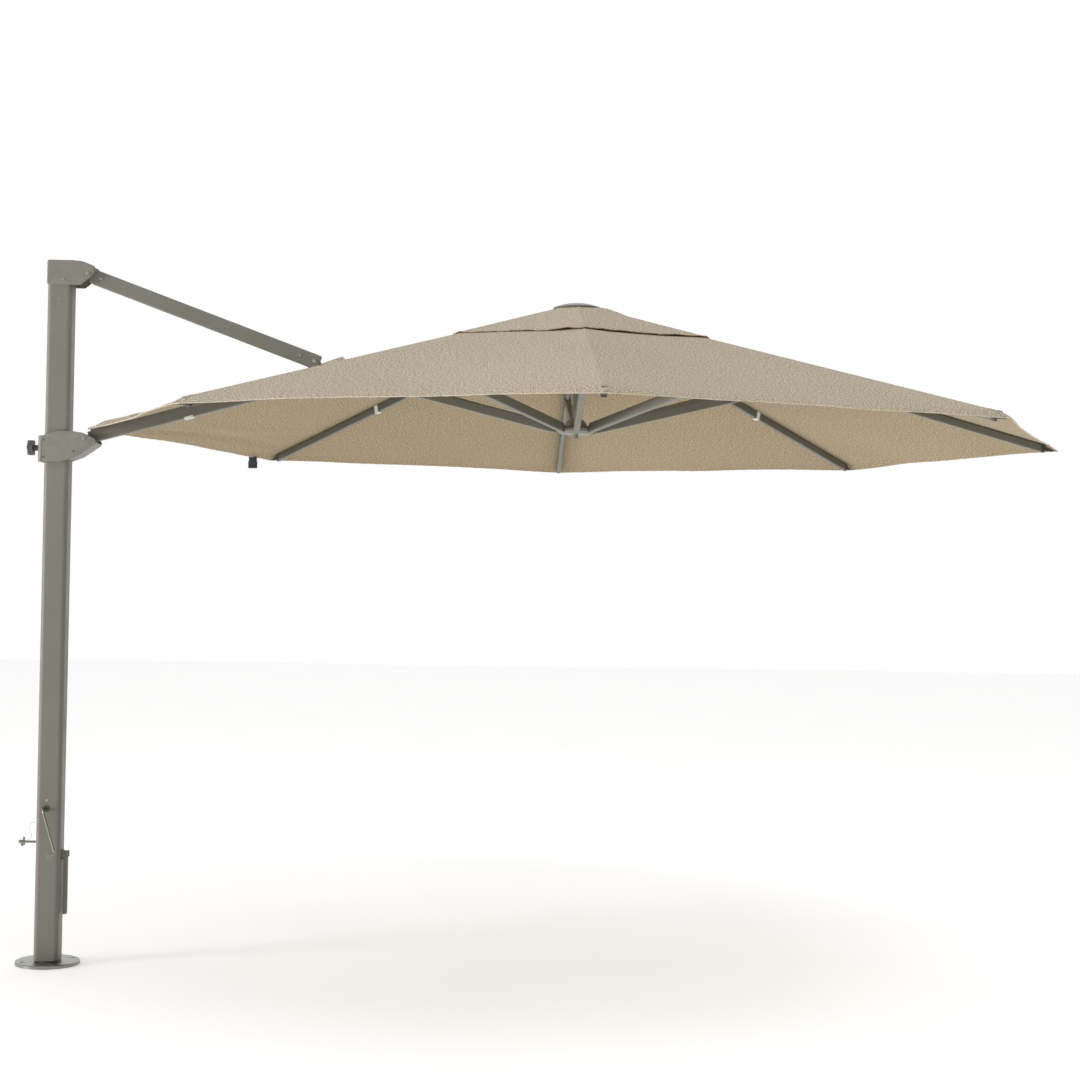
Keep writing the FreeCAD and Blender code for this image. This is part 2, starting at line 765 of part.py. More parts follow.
def make_crank_rod():
    """One bent stainless rod: shaft, throw and the pin of the grip."""
    plane = -mm("crank_plane")
    start = Vector(mm("crank_reach"), 42, mm("crank_level"))
    points = [start, Vector(mm("crank_reach"), plane, mm("crank_level")),
              Vector(grip_x, plane, grip_z), Vector(grip_x, -mm("grip_end") + 4, grip_z)]
    path = bent_path(points, mm("crank_bend"))
    rod_shape = round_tube(path, mm("crank_rod_radius"), start, Vector(0, -1, 0))
    return node(shaped("crank", rod_shape), "crank_rod")


def make_crank_grip():
    length = mm("grip_end") - mm("crank_plane") - 26
    inner = mm("crank_rod_radius") + mm("running_gap")
    profile = [(inner, 0), (7.2, 0), (8.2, 4), (8.2, length - 8), (9.4, length - 6),
               (9.4, length - 1), (8.4, length), (0, length), (0, length - 3.5),
               (inner, length - 3.5)]
    points = [Vector(radius, -along, 0) for radius, along in profile]
    sleeve = Part.Face(Part.makePolygon(points + [points[0]]))
    sleeve = sleeve.revolve(Vector(), Vector(0, 1, 0), 360)
    return node(shaped("grip", sleeve, turn_y(grip_x, -mm("crank_plane") - 26, grip_z)),
                "crank_grip")


# ---------------------------------------------------------------------------
# Turn lever, lock pin and its wire
# ---------------------------------------------------------------------------
def make_lever_bracket():
    """A clevis on the mast's front face that carries the turn lever."""
    plate = box("lever_plate", 4, 34, 40, "mast_depth / 2", -17, "lever_level - 22")
    ears = box("lever_ears", 22, 34, 24, "mast_depth / 2 + 4", -17, "lever_level - 12")
    gap = box("lever_gap", 30, 18, 50, "mast_depth / 2 + 4", -9, "lever_level - 25")
    bore = rod("lever_bore", "3 + running_gap", 60, "lever_reach", -30, "lever_level", "y")
    return node(cut("lever_clevis", fuse("lever_clevis_solid", plate, ears), gap, bore),
                "lever_bracket")


def make_turn_lever():
    """A flat bar on a cross pin, hanging down along the mast."""
    body = new_body("lever_body")
    half = mm("lever_width") / 2
    x = mm("lever_reach")
    top = mm("lever_level")
    bottom = top - mm("lever_length")
    side = outline(body, "XZ_Plane", "lever_side", (x - half, top), [
        (x - half, bottom + 3),
        ((x - half + 1, bottom + 1), (x - half + 3, bottom)),
        (x + half - 3, bottom),
        ((x + half - 1, bottom + 1), (x + half, bottom + 3)),
        (x + half, top),
        ((x, top + half), (x - half, top)),
    ])
    pad(body, side, 17, symmetric=True)
    pin = rod("lever_pin", 3, 38, "lever_reach", -19, "lever_level", "y")
    head = rod("lever_pin_head", 5, 2.5, "lever_reach", -21.5, "lever_level", "y")
    return node(fuse("lever_solid", body, pin, head), "turn_lever")


def make_lock_pin():
    """A stem with a winged head; its tip runs in the spigot's groove."""
    tip = -mm("spigot_radius") - 0.4 + 1.6
    stem = shaped("lock_stem", Part.makeCylinder(mm("lock_pin_radius"), 104 + tip,
                                                 Vector(-104, 0, mm("groove_level")),
                                                 Vector(1, 0, 0)))
    head = rod("lock_head", 8, 18, -122, 0, "groove_level", "x")
    tip_dome = rod("lock_button", 5, 5, -127, 0, "groove_level", "x")
    upper_wing = box("lock_wing_upper", 9, 7, 34, -110, -3.5, "groove_level - 14")
    lower_wing = box("lock_wing_lower", 9, 7, 24, -117, -3.5, "groove_level - 18")
    return node(fuse("lock_solid", stem, head, tip_dome, upper_wing, lower_wing),
                "lock_pin")


LANYARD_ROUTE = [
    (-50.0, 0.0, 570.0),
    (-64.0, -1.0, 571.5),
    (-75.0, -3.0, 567.0),
    (-83.0, -4.5, 556.0),
    (-84.5, -4.0, 543.0),
    (-79.0, -2.0, 531.0),
    (-75.0, 1.0, 519.0),
    (-78.0, 3.0, 508.0),
    (-86.0, 3.0, 501.0),
    (-92.0, 1.0, 497.0),
]


def make_lanyard():
    """A thin wire from the eyelet on the mast to the lock pin's stem."""
    points = [Vector(*point) for point in LANYARD_ROUTE]

    def corner_radius(index, turn):
        shorter = min(points[index].distanceToPoint(points[index - 1]),
                      points[index].distanceToPoint(points[index + 1]))
        radius = 0.45 * shorter / math.tan(turn / 2)
        print("lanyard bend %d: radius %.1f mm, turn %.0f" % (index, radius,
                                                              math.degrees(turn)))
        return radius

    path = bent_path(points, corner_radius)
    wire = round_tube(path, mm("wire_radius"), points[0], points[1] - points[0])
    section = math.pi * mm("wire_radius") ** 2
    assert abs(wire.Volume / (section * path.Length) - 1) < 0.02
    return node(shaped("wire", wire), "lanyard")


# ---------------------------------------------------------------------------
# Strut
# ---------------------------------------------------------------------------
def make_strut_tube():
    """A box section from the cap to the elbow, slotted for the arm bracket."""
    end_over = 20
    section = tube("strut_section", "link_length - 24 + %d" % end_over, "strut_width",
                   "strut_height", "strut_wall", 7, start="24")
    slot = box("strut_slot", 90, "tongue_width + 1", 90, "link_length - 40",
               "-tongue_width / 2 - 0.5", -45)
    bolt_bore = rod("strut_bolt_bore", "3.5 + running_gap", 60, "link_length - 62", -30, 0,
                    "y")
    pin_bore = rod("strut_pin_bore", "pin_radius + running_gap", 60, "link_length", -30, 0,
                   "y")
    top_bore = rod("strut_top_bore", "3.5 + running_gap", 60, 52, -30, 0, "y")
    result = cut("strut_tube_cut", section, slot, bolt_bore, pin_bore, top_bore)
    result.Placement = strut_frame
    return node(result, "strut_tube")


def make_strut_top_fitting():
    """A plug in the tube that ends in a wide barrel on the upper pivot."""
    plug = plug_bar("strut_plug", 62, "strut_width", "strut_height", "strut_wall", 5, "12")
    barrel = rod("strut_barrel", 15, "2 * cavity_half_width - 2", 0,
                 "-cavity_half_width + 1", 0, "y")
    web = box("strut_neck", 24, "strut_width - 2 * strut_wall - 2 * part_gap", 30, -8,
              "-strut_width / 2 + strut_wall + part_gap", -15)
    bore = rod("strut_barrel_bore", "pin_radius + running_gap", 120, 0, -60, 0, "y")
    bolt = rod("strut_top_bolt_bore", "3.5 + running_gap", 60, 52, -30, 0, "y")
    result = cut("strut_top", fuse("strut_top_solid", plug, barrel, web), bore, bolt)
    result.Placement = strut_frame
    return node(result, "strut_top_fitting")


def make_strut_end_fitting():
    """A forked plug in the tube's lower end, round the arm bracket's tongue."""
    plug = plug_bar("strut_fork", 98, "strut_width", "strut_height", "strut_wall", 5,
                    "link_length - 80")
    slot = box("strut_fork_slot", 90, "tongue_width + 1", 90, "link_length - 40",
               "-tongue_width / 2 - 0.5", -45)
    pin_bore = rod("fork_pin_bore", "pin_radius + running_gap", 60, "link_length", -30, 0,
                   "y")
    bolt_bore = rod("fork_bolt_bore", "3.5 + running_gap", 60, "link_length - 62", -30, 0,
                    "y")
    result = cut("strut_fork_cut", plug, slot, pin_bore, bolt_bore)
    result.Placement = strut_frame
    return node(result, "strut_end_fitting")


def make_strut_bolts():
    bolts = [headed_pin("strut_top_bolt", 3.5, "strut_width + 2 * part_gap", 6, 52, 0),
             headed_pin("strut_end_bolt", 3.5, "strut_width + 2 * part_gap", 6,
                        "link_length - 62", 0)]
    result = group("strut_bolt_group", *bolts)
    result.Placement = strut_frame
    return node(result, "strut_bolts")


# ---------------------------------------------------------------------------
# Arm: everything here is drawn in the arm's own frame, from the heel pivot
# ---------------------------------------------------------------------------
arm_nose_end = nose_in_arm[0] - 28


def make_arm_tube():
    length = arm_nose_end - 28
    section = tube("arm_section", length, "arm_width", "arm_height", "arm_wall", 6,
                   start="28", lift=arm_line_lift)
    brace = rod("arm_brace_bore", "4 + running_gap", 80, arm_brace_in_arm[0], -40,
                arm_brace_in_arm[1], "y")
    result = cut("arm_tube_cut", section, brace)
    result.Placement = arm_frame
    return node(result, "arm_tube")


def arm_plug(name, start, length):
    return plug_bar(name, length, "arm_width", "arm_height", "arm_wall", 4, "%f" % start,
                    "%f" % arm_line_lift)


def make_arm_heel():
    plug = arm_plug("heel_plug", 14, 64)
    barrel = rod("heel_barrel", 15, "2 * cavity_half_width + 8", 0,
                 "-cavity_half_width - 4", 0, "y")
    neck = box("heel_neck", 20, "arm_width - 2 * arm_wall - 2 * part_gap", 30, 0,
               "-arm_width / 2 + arm_wall + part_gap", -13)
    bore = rod("heel_bore", "pin_radius + running_gap", 120, 0, -60, 0, "y")
    result = cut("heel", fuse("heel_solid", plug, barrel, neck), bore)
    result.Placement = arm_frame
    return node(result, "arm_heel")


def make_arm_bracket():
    """A tongue that stands on the arm and carries the strut's elbow pin."""
    along, across = elbow_in_arm
    arm_top = arm_line_lift + mm("arm_height") / 2
    body = new_body("bracket_body")
    head = 22.0
    side = outline(body, "XZ_Plane", "bracket_side", (along - 46, arm_top + 5), [
        (along + 36, arm_top + 5),
        (along + 30, arm_top + 13),
        (along + head * 0.92, across + head * 0.4),
        ((along + head * 0.1, across + head), (along - head * 0.92, across + head * 0.4)),
        (along - 36, arm_top + 13),
    ])
    pad(body, side, "tongue_width", symmetric=True)
    foot = box("bracket_foot", 150, "arm_width", 5, along - 75, "-arm_width / 2", arm_top)
    bore = rod("bracket_bore", "pin_radius + running_gap", 60, along, -30, across, "y")
    result = cut("bracket", fuse("bracket_solid", body, foot), bore)
    result.Placement = arm_frame
    return node(result, "arm_bracket")


def make_elbow_pin():
    pin = headed_pin("elbow", "pin_radius", "strut_width + 2 * part_gap", 8,
                     elbow_in_arm[0], elbow_in_arm[1])
    pin.Placement = arm_frame
    return node(pin, "elbow_pin")


def make_arm_nose():
    """A plug in the arm's upper end with a lug down to the hub's pivot."""
    along, across = nose_in_arm
    plug = arm_plug("nose_plug", arm_nose_end - 60, 60)
    lug_body = new_body("nose_lug_body")
    low = arm_line_lift - mm("arm_height") / 2 + 4
    high = arm_line_lift + mm("arm_height") / 2 - 4
    lug = outline(lug_body, "XZ_Plane", "nose_lug_side", (arm_nose_end - 1, low), [
        (along - 11, across - 2),
        ((along, across - 11), (along + 11, across)),
        (along + 8, across + 14),
        (along - 10, high),
        (arm_nose_end - 1, high),
    ])
    pad(lug_body, lug, "lug_width", symmetric=True)
    bore = rod("nose_bore", "hub_pin_radius + running_gap", 60, along, -30, across, "y")
    result = cut("nose", fuse("nose_solid", plug, lug_body), bore)
    result.Placement = arm_frame
    return node(result, "arm_nose")


# ---------------------------------------------------------------------------
# Carriage: slides on the mast and carries the arm's heel
# ---------------------------------------------------------------------------
SPLIT_X = -54.0


def make_carriage_body():
    low = mm("carriage_bottom")
    reach = mm("pivot_reach")
    level = heel_z
    body = cast_block("carriage_solid", [
        (SPLIT_X, low), (24, low), (92, low + 26), (reach + 48, level - 22),
        (reach + 53, level - 12), (reach + 46, level + 2), (reach - 4, level + 24),
        (60, level + 31), (4, level + 31), (SPLIT_X, level + 10)],
        "2 * carriage_half_width", 6, 4)
    cavity = new_body("carriage_cavity")
    hollow = outline(cavity, "XZ_Plane", "carriage_cavity_side", (60, low + 18), [
        ((98, low + 34), (reach + 24, low + 58)),
        (reach + 49, level - 16),
        (reach + 90, level - 8),
        (reach + 90, level + 80),
        (60, level + 80),
    ])
    pad(cavity, hollow, 100, symmetric=True)
    shaft = box("carriage_shaft", "mast_depth + 6", "mast_width + 12", 300,
                "-mast_depth / 2 - 4", "-mast_width / 2 - 6", "carriage_bottom - 50")
    bore = shaped("carriage_bore", Part.makeCylinder(mm("pin_radius") + mm("running_gap"),
                                                     140, Vector(reach, -70, level),
                                                     Vector(0, 1, 0)))
    return node(cut("carriage", body, cavity, shaft, bore), "carriage_body")


def make_carriage_rear_cover():
    """The rounded cover that closes the carriage behind the mast."""
    low = mm("carriage_bottom")
    half = mm("carriage_half_width")
    body = new_body("rear_cover_solid")
    side = outline(body, "XY_Plane", "rear_cover_side", (SPLIT_X - 0.2, -half), [
        (SPLIT_X - 0.2, half), (SPLIT_X - 8, half), (SPLIT_X - 18, half - 12),
        (SPLIT_X - 18, 12 - half), (SPLIT_X - 8, -half)], offset="carriage_bottom")
    solid = pad(body, side, heel_z + 10 - low)
    doc.recompute()
    upright = edges_where(solid.Shape, lambda e: runs_along(e, Vector(0, 0, 1))
                          and e.BoundBox.Center.x < SPLIT_X - 1)
    rounded = fillet(body, solid, upright, 5)
    doc.recompute()
    rims = edges_where(rounded.Shape, lambda e: e.BoundBox.ZLength < 1e-6
                       and e.BoundBox.Center.x < SPLIT_X - 1)
    fillet(body, rounded, rims, 3)
    bore = rod("knob_bore", "5 + running_gap", 60, -90, 0, "knob_level", "x")
    return node(cut("rear_cover", body, bore), "carriage_rear_cover")


def make_carriage_glides():
    """Plastic pads between the carriage and the mast's four faces."""
    low = "carriage_bottom + 12"
    high = 84
    side_gap = 0.4
    front = box("glide_front", "mast_depth - 40", "6 - %f - 0.2" % side_gap, high,
                "-mast_depth / 2 + 20", "-mast_width / 2 - 6 + 0.2", low)
    back = box("glide_back", "mast_depth - 40", "6 - %f - 0.2" % side_gap, high,
               "-mast_depth / 2 + 20", "mast_width / 2 + %f" % side_gap, low)
    right = box("glide_right", "2 - %f" % side_gap, "mast_width - 40", high,
                "mast_depth / 2 + %f" % side_gap, "-mast_width / 2 + 20", low)
    left_low = box("glide_left_low", "3.8 - %f" % side_gap, 20, high,
                   "-mast_depth / 2 - 3.8", "-mast_width / 2 + 20", low)
    left_high = box("glide_left_high", "3.8 - %f" % side_gap, 20, high,
                    "-mast_depth / 2 - 3.8", "mast_width / 2 - 40", low)
    return node(group("glides", front, back, right, left_low, left_high),
                "carriage_glides")


def make_arm_pivot_pin():
    pin = headed_pin("heel_pin", "pin_radius", "2 * carriage_half_width + 2 * part_gap", 8,
                     "pivot_reach", heel_z)
    return node(pin, "arm_pivot_pin")


def make_carriage_screws():
    """Screw heads on the carriage's side faces, three each side."""
    spots = [(SPLIT_X + 7, heel_z - 7), (SPLIT_X + 7, heel_z - 76), (74, heel_z - 52)]
    screws = []
    for index, (x, z) in enumerate(spots):
        for side, start in (("front", "-carriage_half_width - 1.5"),
                            ("back", "carriage_half_width")):
            screws.append(rod("carriage_screw_%d_%s" % (index, side), 4, 1.5, x, start, z,
                              "y"))
    return node(group("carriage_screw_group", *screws), "carriage_screws")


def make_cord_clamp():
    """A tongue through the mast's slot that grips the hoist cord."""
    cord_x = mm("drum_reach") - mm("sheave_radius")
    level = mm("knob_level") - 36
    tongue = box("clamp_tongue", SPLIT_X * -1 + cord_x + 6, 10, 14, SPLIT_X, -5, level)
    groove = shaped("clamp_groove", Part.makeCylinder(mm("rope_radius") + 0.4, 40,
                                                      Vector(cord_x, 0, level - 10)))
    return node(cut("clamp", tongue, groove), "cord_clamp")


def make_carriage_knob():
    """A knob with rounded lobes on a short threaded stem."""
    level = mm("knob_level")
    radius = mm("knob_radius")
    lobes = 6
    disc = Part.makeCylinder(radius - 6, 22, Vector(-122, 0, level), Vector(1, 0, 0))
    for index in range(lobes):
        angle = 2 * math.pi * index / lobes
        centre = Vector(-122, (radius - 10) * math.cos(angle),
                        level + (radius - 10) * math.sin(angle))
        disc = disc.fuse(Part.makeCylinder(10, 22, centre, Vector(1, 0, 0)))
    stem = Part.makeCylinder(5, 46, Vector(-100, 0, level), Vector(1, 0, 0))
    boss = Part.makeCylinder(12, 26, Vector(-100, 0, level), Vector(1, 0, 0))
    solid = disc.fuse([stem, boss]).removeSplitter()
    return node(shaped("knob", solid), "carriage_knob")


# ---------------------------------------------------------------------------
# Hubs
# ---------------------------------------------------------------------------
def slotted(disc, pivot, slot_width, low, high):
    circle_radius = mm("pivot_circle")
    for index in range(8):
        turn = Rotation(Vector(0, 0, 1), 45 * index)
        slot = Part.makeBox(80, slot_width, high - low,
                            Vector(circle_radius - 14, -slot_width / 2, low))
        bore = Part.makeCylinder(mm("hub_pin_radius") + mm("running_gap"), 44,
                                 Vector(circle_radius, -22, pivot), Vector(0, 1, 0))
        tool = slot.fuse(bore)
        tool.Placement = Placement(Vector(), turn)
        disc = disc.cut(tool)
    return disc


def revolve_profile(profile):
    points = [Vector(radius, 0, level) for radius, level in profile]
    return Part.Face(Part.makePolygon(points + [points[0]])).revolve(
        Vector(), Vector(0, 0, 1), 360)


def hub_place():
    return Placement(Vector(mm("hub_reach"), 0, 0), Rotation())


def make_top_hub():
    pivot = mm("hub_pivot_level")
    crown = mm("vent_crown_level") + 4
    disc = revolve_profile([(0, pivot - 14), (76, pivot - 14), (80, pivot - 10),
                            (80, pivot + 7), (50, pivot + 7), (34, pivot + 22),
                            (34, crown), (0, crown)])
    disc = slotted(disc, pivot, mm("lug_width") + 1, pivot - 20, pivot + 40)
    return node(shaped("hub_upper", disc, hub_place()), "top_hub")


def make_finial():
    """A shallow domed disc that holds the fabric down on the hub."""
    low = mm("vent_crown_level") + 4
    rim = 100.0
    edge = 9.0
    rise = 29.0
    ball = (rim ** 2 + (rise - edge) ** 2) / (2 * (rise - edge))
    centre = low + rise - ball
    half_turn = math.asin(rim / ball) / 2
    middle = Vector(ball * math.sin(half_turn), 0, centre + ball * math.cos(half_turn))
    edges = [Part.Arc(Vector(rim, 0, low + edge), middle, Vector(0, 0, low + rise)).toShape(),
             Part.LineSegment(Vector(0, 0, low + rise), Vector(0, 0, low)).toShape(),
             Part.LineSegment(Vector(0, 0, low), Vector(rim - 4, 0, low)).toShape(),
             Part.LineSegment(Vector(rim - 4, 0, low), Vector(rim, 0, low + 4)).toShape(),
             Part.LineSegment(Vector(rim, 0, low + 4), Vector(rim, 0, low + edge)).toShape()]
    disc = Part.Face(Part.Wire(edges)).revolve(Vector(), Vector(0, 0, 1), 360)
    return node(shaped("finial_disc", disc, hub_place()), "finial")


def pin_ring(name, pivot):
    pins = []
    for index in range(8):
        pin = Part.makeCylinder(mm("hub_pin_radius"), 43, Vector(mm("pivot_circle"), -21.5,
                                                                pivot), Vector(0, 1, 0))
        pin.Placement = Placement(Vector(), Rotation(Vector(0, 0, 1), 45 * index))
        pins.append(pin)
    return shaped(name, Part.makeCompound(pins), hub_place())


GUIDE_JOINT = 2300.0


def make_upper_guide_tube():
    """The half of the centre tube that hangs from the top hub."""
    top = mm("hub_pivot_level") - 14
    shell = revolve_profile([(12, GUIDE_JOINT + 1), (15, GUIDE_JOINT + 1), (15, top),
                             (12, top)])
    return node(shaped("guide_upper", shell, hub_place()), "upper_guide_tube")


def make_lower_hub():
    pivot = lower_pivot_level
    dome = Part.Arc(Vector(49, 0, pivot + 6), Vector(40, 0, pivot + 32),
                    Vector(15, 0, pivot + 47))
    line_points = [Vector(15, 0, pivot + 47), Vector(0, 0, pivot + 47),
                   Vector(0, 0, pivot - 36), Vector(10, 0, pivot - 36),
                   Vector(10, 0, pivot - 17), Vector(60, 0, pivot - 17),
                   Vector(78, 0, pivot - 8), Vector(78, 0, pivot + 3),
                   Vector(75, 0, pivot + 6), Vector(49, 0, pivot + 6)]
    edges = [dome.toShape()]
    for first, last in zip(line_points[:-1], line_points[1:]):
        edges.append(Part.LineSegment(first, last).toShape())
    disc = Part.Face(Part.Wire(edges)).revolve(Vector(), Vector(0, 0, 1), 360)
    disc = slotted(disc, pivot, mm("lug_width") + 1, pivot - 11, pivot + 60)
    return node(shaped("hub_lower", disc, hub_place()), "lower_hub")


def make_lower_guide_tube():
    low = lower_pivot_level + 47
    shell = revolve_profile([(12, low), (15, low), (15, GUIDE_JOINT - 7),
                             (17, GUIDE_JOINT - 7), (17, GUIDE_JOINT), (12, GUIDE_JOINT)])
    return node(shaped("guide_lower", shell, hub_place()), "lower_guide_tube")


# ---------------------------------------------------------------------------
# Ribs and stretchers, drawn in a frame at their hub pivot
# ---------------------------------------------------------------------------
def make_rib_pieces():
    """Tube, hub lug and tongued tip cap of one rib, shared by all ribs."""
    section = tube("rib_section", "rib_end - rib_start - 8", "rib_width", "rib_height",
                   "rib_wall", 4, start="rib_start", lift="rib_lift")
    brace = rod("rib_brace_bore", "4 + running_gap", 60, "brace_point", -30, "brace_lift",
                "y")
    rib_tube = cut("rib_tube", section, brace)
    lift = mm("rib_lift")
    half = mm("rib_height") / 2
    start = mm("rib_start")
    lug_body = new_body("rib_lug_body")
    lug = outline(lug_body, "XZ_Plane", "rib_lug_side", (-11, 0), [
        ((0, -11), (11, 0)),
        (start, lift - half + 4),
        (start, lift + half - 4),
        (start - 12, lift + half - 4),
        (-9, 12),
    ])
    pad(lug_body, lug, "lug_width", symmetric=True)
    plug = plug_bar("rib_plug", 50, "rib_width", "rib_height", "rib_wall", 2.6, "rib_start",
                    "rib_lift")
    bore = rod("rib_lug_bore", "hub_pin_radius + running_gap", 60, 0, -30, 0, "y")
    rib_lug = cut("rib_lug", fuse("rib_lug_solid", lug_body, plug), bore)
    end = mm("rib_end") - 8
    rim = bar("rib_cap_rim", "YZ_Plane", 7, "rib_width", "rib_height", 4, "rib_end - 7.7")
    move_to(rim, 0, 0, "rib_lift")
    tongue_body = new_body("rib_tongue_body")
    tip = end + mm("rib_tongue")
    tongue = outline(tongue_body, "XZ_Plane", "rib_tongue_side", (end + 4, lift - 9), [
        (end + 4, lift + 9),
        (tip - 4, lift + 6),
        ((tip, lift + 2), (tip - 4, lift - 2)),
    ])
    pad(tongue_body, tongue, "rib_width - 6", symmetric=True)
    rib_cap = fuse("rib_cap", rim, tongue_body)
    return [rib_tube, rib_lug, rib_cap]


def make_ribs():
    pieces = make_rib_pieces()
    for index, azimuth in enumerate(RIB_AZIMUTHS, start=1):
        rib = group("rib_group_%d" % index, *pieces)
        rib.Placement = around_hub(azimuth, mm("pivot_circle"), mm("hub_pivot_level"),
                                   -mm("rib_slope"))
        node(rib, "rib_%d" % index)


def make_stretcher_pieces(name, grip_width, ear_length):
    """Tube, hub tongue and forked end; the fork straddles a rib or the arm."""
    length = brace_length
    tube_end = length - ear_length
    section = tube(name + "_section", tube_end - 24, "stretcher_width",
                   "stretcher_height", 1.6, 4, start="24")
    tongue_body = new_body(name + "_tongue_body")
    tongue = outline(tongue_body, "XZ_Plane", name + "_tongue_side", (24, 10), [
        (0, 10),
        ((-10, 0), (0, -10)),
        (8, -10),
        (24, -15),
    ])
    pad(tongue_body, tongue, "lug_width", symmetric=True)
    plug = plug_bar(name + "_plug", 50, "stretcher_width", "stretcher_height", "rib_wall",
                    2.6, "23")
    bore = rod(name + "_tongue_bore", "hub_pin_radius + running_gap", 60, 0, -30, 0, "y")
    hub_end = cut(name + "_hub_end", fuse(name + "_hub_end_solid", tongue_body, plug), bore)
    inner = grip_width / 2 + 1
    outer = inner + mm("ear_thick")
    fork_body = new_body(name + "_fork_body")
    ear = outline(fork_body, "XZ_Plane", name + "_ear_side", (tube_end + 0.2, -15), [
        (length, -12),
        ((length + 12, 0), (length, 12)),
        (tube_end + 0.2, 15),
    ])
    pad(fork_body, ear, 2 * outer, symmetric=True)
    gap = box(name + "_fork_gap", ear_length + 24, 2 * inner, 60, tube_end + 10, -inner, -30)
    pin = rod(name + "_fork_pin", 4, 2 * outer, length, -outer, 0, "y")
    fork_plug = plug_bar(name + "_fork_plug", 42, "stretcher_width", "stretcher_height",
                         "rib_wall", 2.6, "%f" % (tube_end - 40))
    fork = fuse(name + "_fork", cut(name + "_ears", fork_body, gap), pin, fork_plug)
    return [section, hub_end, fork]


def make_stretchers():
    rib_pieces = make_stretcher_pieces("rib_stretcher", mm("rib_width"), mm("ear_length"))
    arm_pieces = make_stretcher_pieces("arm_stretcher", mm("arm_width"),
                                       mm("arm_ear_length"))
    azimuths = RIB_AZIMUTHS + [ARM_AZIMUTH]
    for index, azimuth in enumerate(azimuths, start=1):
        pieces = arm_pieces if azimuth == ARM_AZIMUTH else rib_pieces
        stretcher = group("stretcher_group_%d" % index, *pieces)
        stretcher.Placement = around_hub(azimuth, mm("pivot_circle"), lower_pivot_level,
                                         brace_slope)
        node(stretcher, "stretcher_%d" % index)


# ---------------------------------------------------------------------------
# Canopy: the fabric as one thin closed shell, and the vent cap above it
# ---------------------------------------------------------------------------
def ring_sector(index, inner, outer, sag):
    """One facet between two ridges; inner and outer give radius and level."""
    corners = []
    for radius_level, order in ((inner, (index, index + 1)), (outer, (index + 1, index))):
        for ridge in order:
            radius, level = radius_level(ridge % 8)
            angle = math.radians(45 * ridge)
            corners.append(Vector(radius * math.cos(angle), radius * math.sin(angle), level))
    middle = (corners[2] + corners[3]) * 0.5
    inside = (corners[0] + corners[1]) * 0.5
    pull = (inside - middle).normalize() * sag
    points = corners[:3] + [middle + pull] + corners[3:]
    return polygon_prism(points, Vector(0, 0, mm("fabric_thick")))


def fabric_ring(inner, outer, sag):
    sectors = [ring_sector(index, inner, outer, sag) for index in range(8)]
    return sectors[0].fuse(sectors[1:]).removeSplitter()


def make_canopy():
    apex = mm("canopy_apex")
    radius = mm("canopy_radius")

    def hem(ridge):
        level = mm("canopy_arm_hem") if ridge == 4 else mm("canopy_hem")
        return radius, level

    def opening(ridge):
        share = mm("canopy_opening") / radius
        return mm("canopy_opening"), apex + (hem(ridge)[1] - apex) * share

    main = fabric_ring(opening, hem, mm("hem_sag"))
    slit = Part.makeBox(radius - mm("hub_reach") + elbow_x + 140, 48, 800,
                        Vector(-radius - 20, -24, 2000))
    main = main.cut(slit)
    crown = mm("vent_crown_level")
    vent_top = fabric_ring(lambda ridge: (60.0, crown),
                           lambda ridge: (mm("vent_crown_radius"), crown), 0)
    vent_skirt = fabric_ring(lambda ridge: (mm("vent_crown_radius"), crown),
                             lambda ridge: (mm("vent_radius"), mm("vent_edge_level")), 10)
    vent = vent_top.fuse(vent_skirt).removeSplitter()
    fabric = Part.makeCompound(main.Solids + vent.Solids)
    return node(shaped("fabric", fabric, hub_place()), "canopy")


# ---------------------------------------------------------------------------
# Build, check and export
# ---------------------------------------------------------------------------
make_base_plate()
make_spigot_tube()
make_thrust_washer()
make_mast_tube()
make_mast_bushes()
make_top_cap()
make_strut_pivot_pin()
make_mast_screws()
make_mast_grommets()
make_drive_pinion()
make_winch_drum()
make_head_sheave()
make_hoist_cord()
make_hoist_axles()
make_winch_frame()
make_crank_rod()
make_crank_grip()
make_lever_bracket()
make_turn_lever()
make_lock_pin()
make_lanyard()
make_strut_tube()
make_strut_top_fitting()
make_strut_end_fitting()
make_strut_bolts()
make_arm_tube()
make_arm_heel()
make_arm_bracket()
make_elbow_pin()
make_arm_nose()
make_carriage_body()
make_carriage_rear_cover()
make_carriage_glides()
make_arm_pivot_pin()
make_carriage_screws()
make_cord_clamp()
make_carriage_knob()
make_top_hub()
make_finial()
node(pin_ring("upper_pins", mm("hub_pivot_level")), "top_hub_pins")
make_upper_guide_tube()
make_lower_hub()
node(pin_ring("lower_pins", lower_pivot_level), "lower_hub_pins")
make_lower_guide_tube()
make_ribs()
make_stretchers()
make_canopy()

doc.recompute()
for item in doc.Objects:
    bad = [word for word in item.State if word in ("Invalid", "Error")]
    if bad:
        raise RuntimeError("%s is %s" % (item.Label, bad))
os.makedirs("parts", exist_ok=True)
for item in nodes:
    shape = item.Shape
    if shape.isNull() or not shape.isValid():
        raise RuntimeError("%s has no valid shape" % item.Label)
    shape.exportStep(os.path.join("parts", item.Label + ".step"))
    print("%-22s solids %2d  volume %12.1f mm3" % (item.Label, len(shape.Solids), shape.Volume))
print("elbow %.3f %.3f heel %.3f lower pivots %.3f brace %.3f slope %.4f" % (
    elbow_x, elbow_z, heel_z, lower_pivot_level, brace_length, brace_slope))
print("arm brace %.3f %.3f drum %.3f grip %.3f %.3f" % (
    arm_brace_x, arm_brace_z, drum_level, grip_x, grip_z))
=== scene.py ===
import json
import math

import bpy
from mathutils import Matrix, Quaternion, Vector, noise


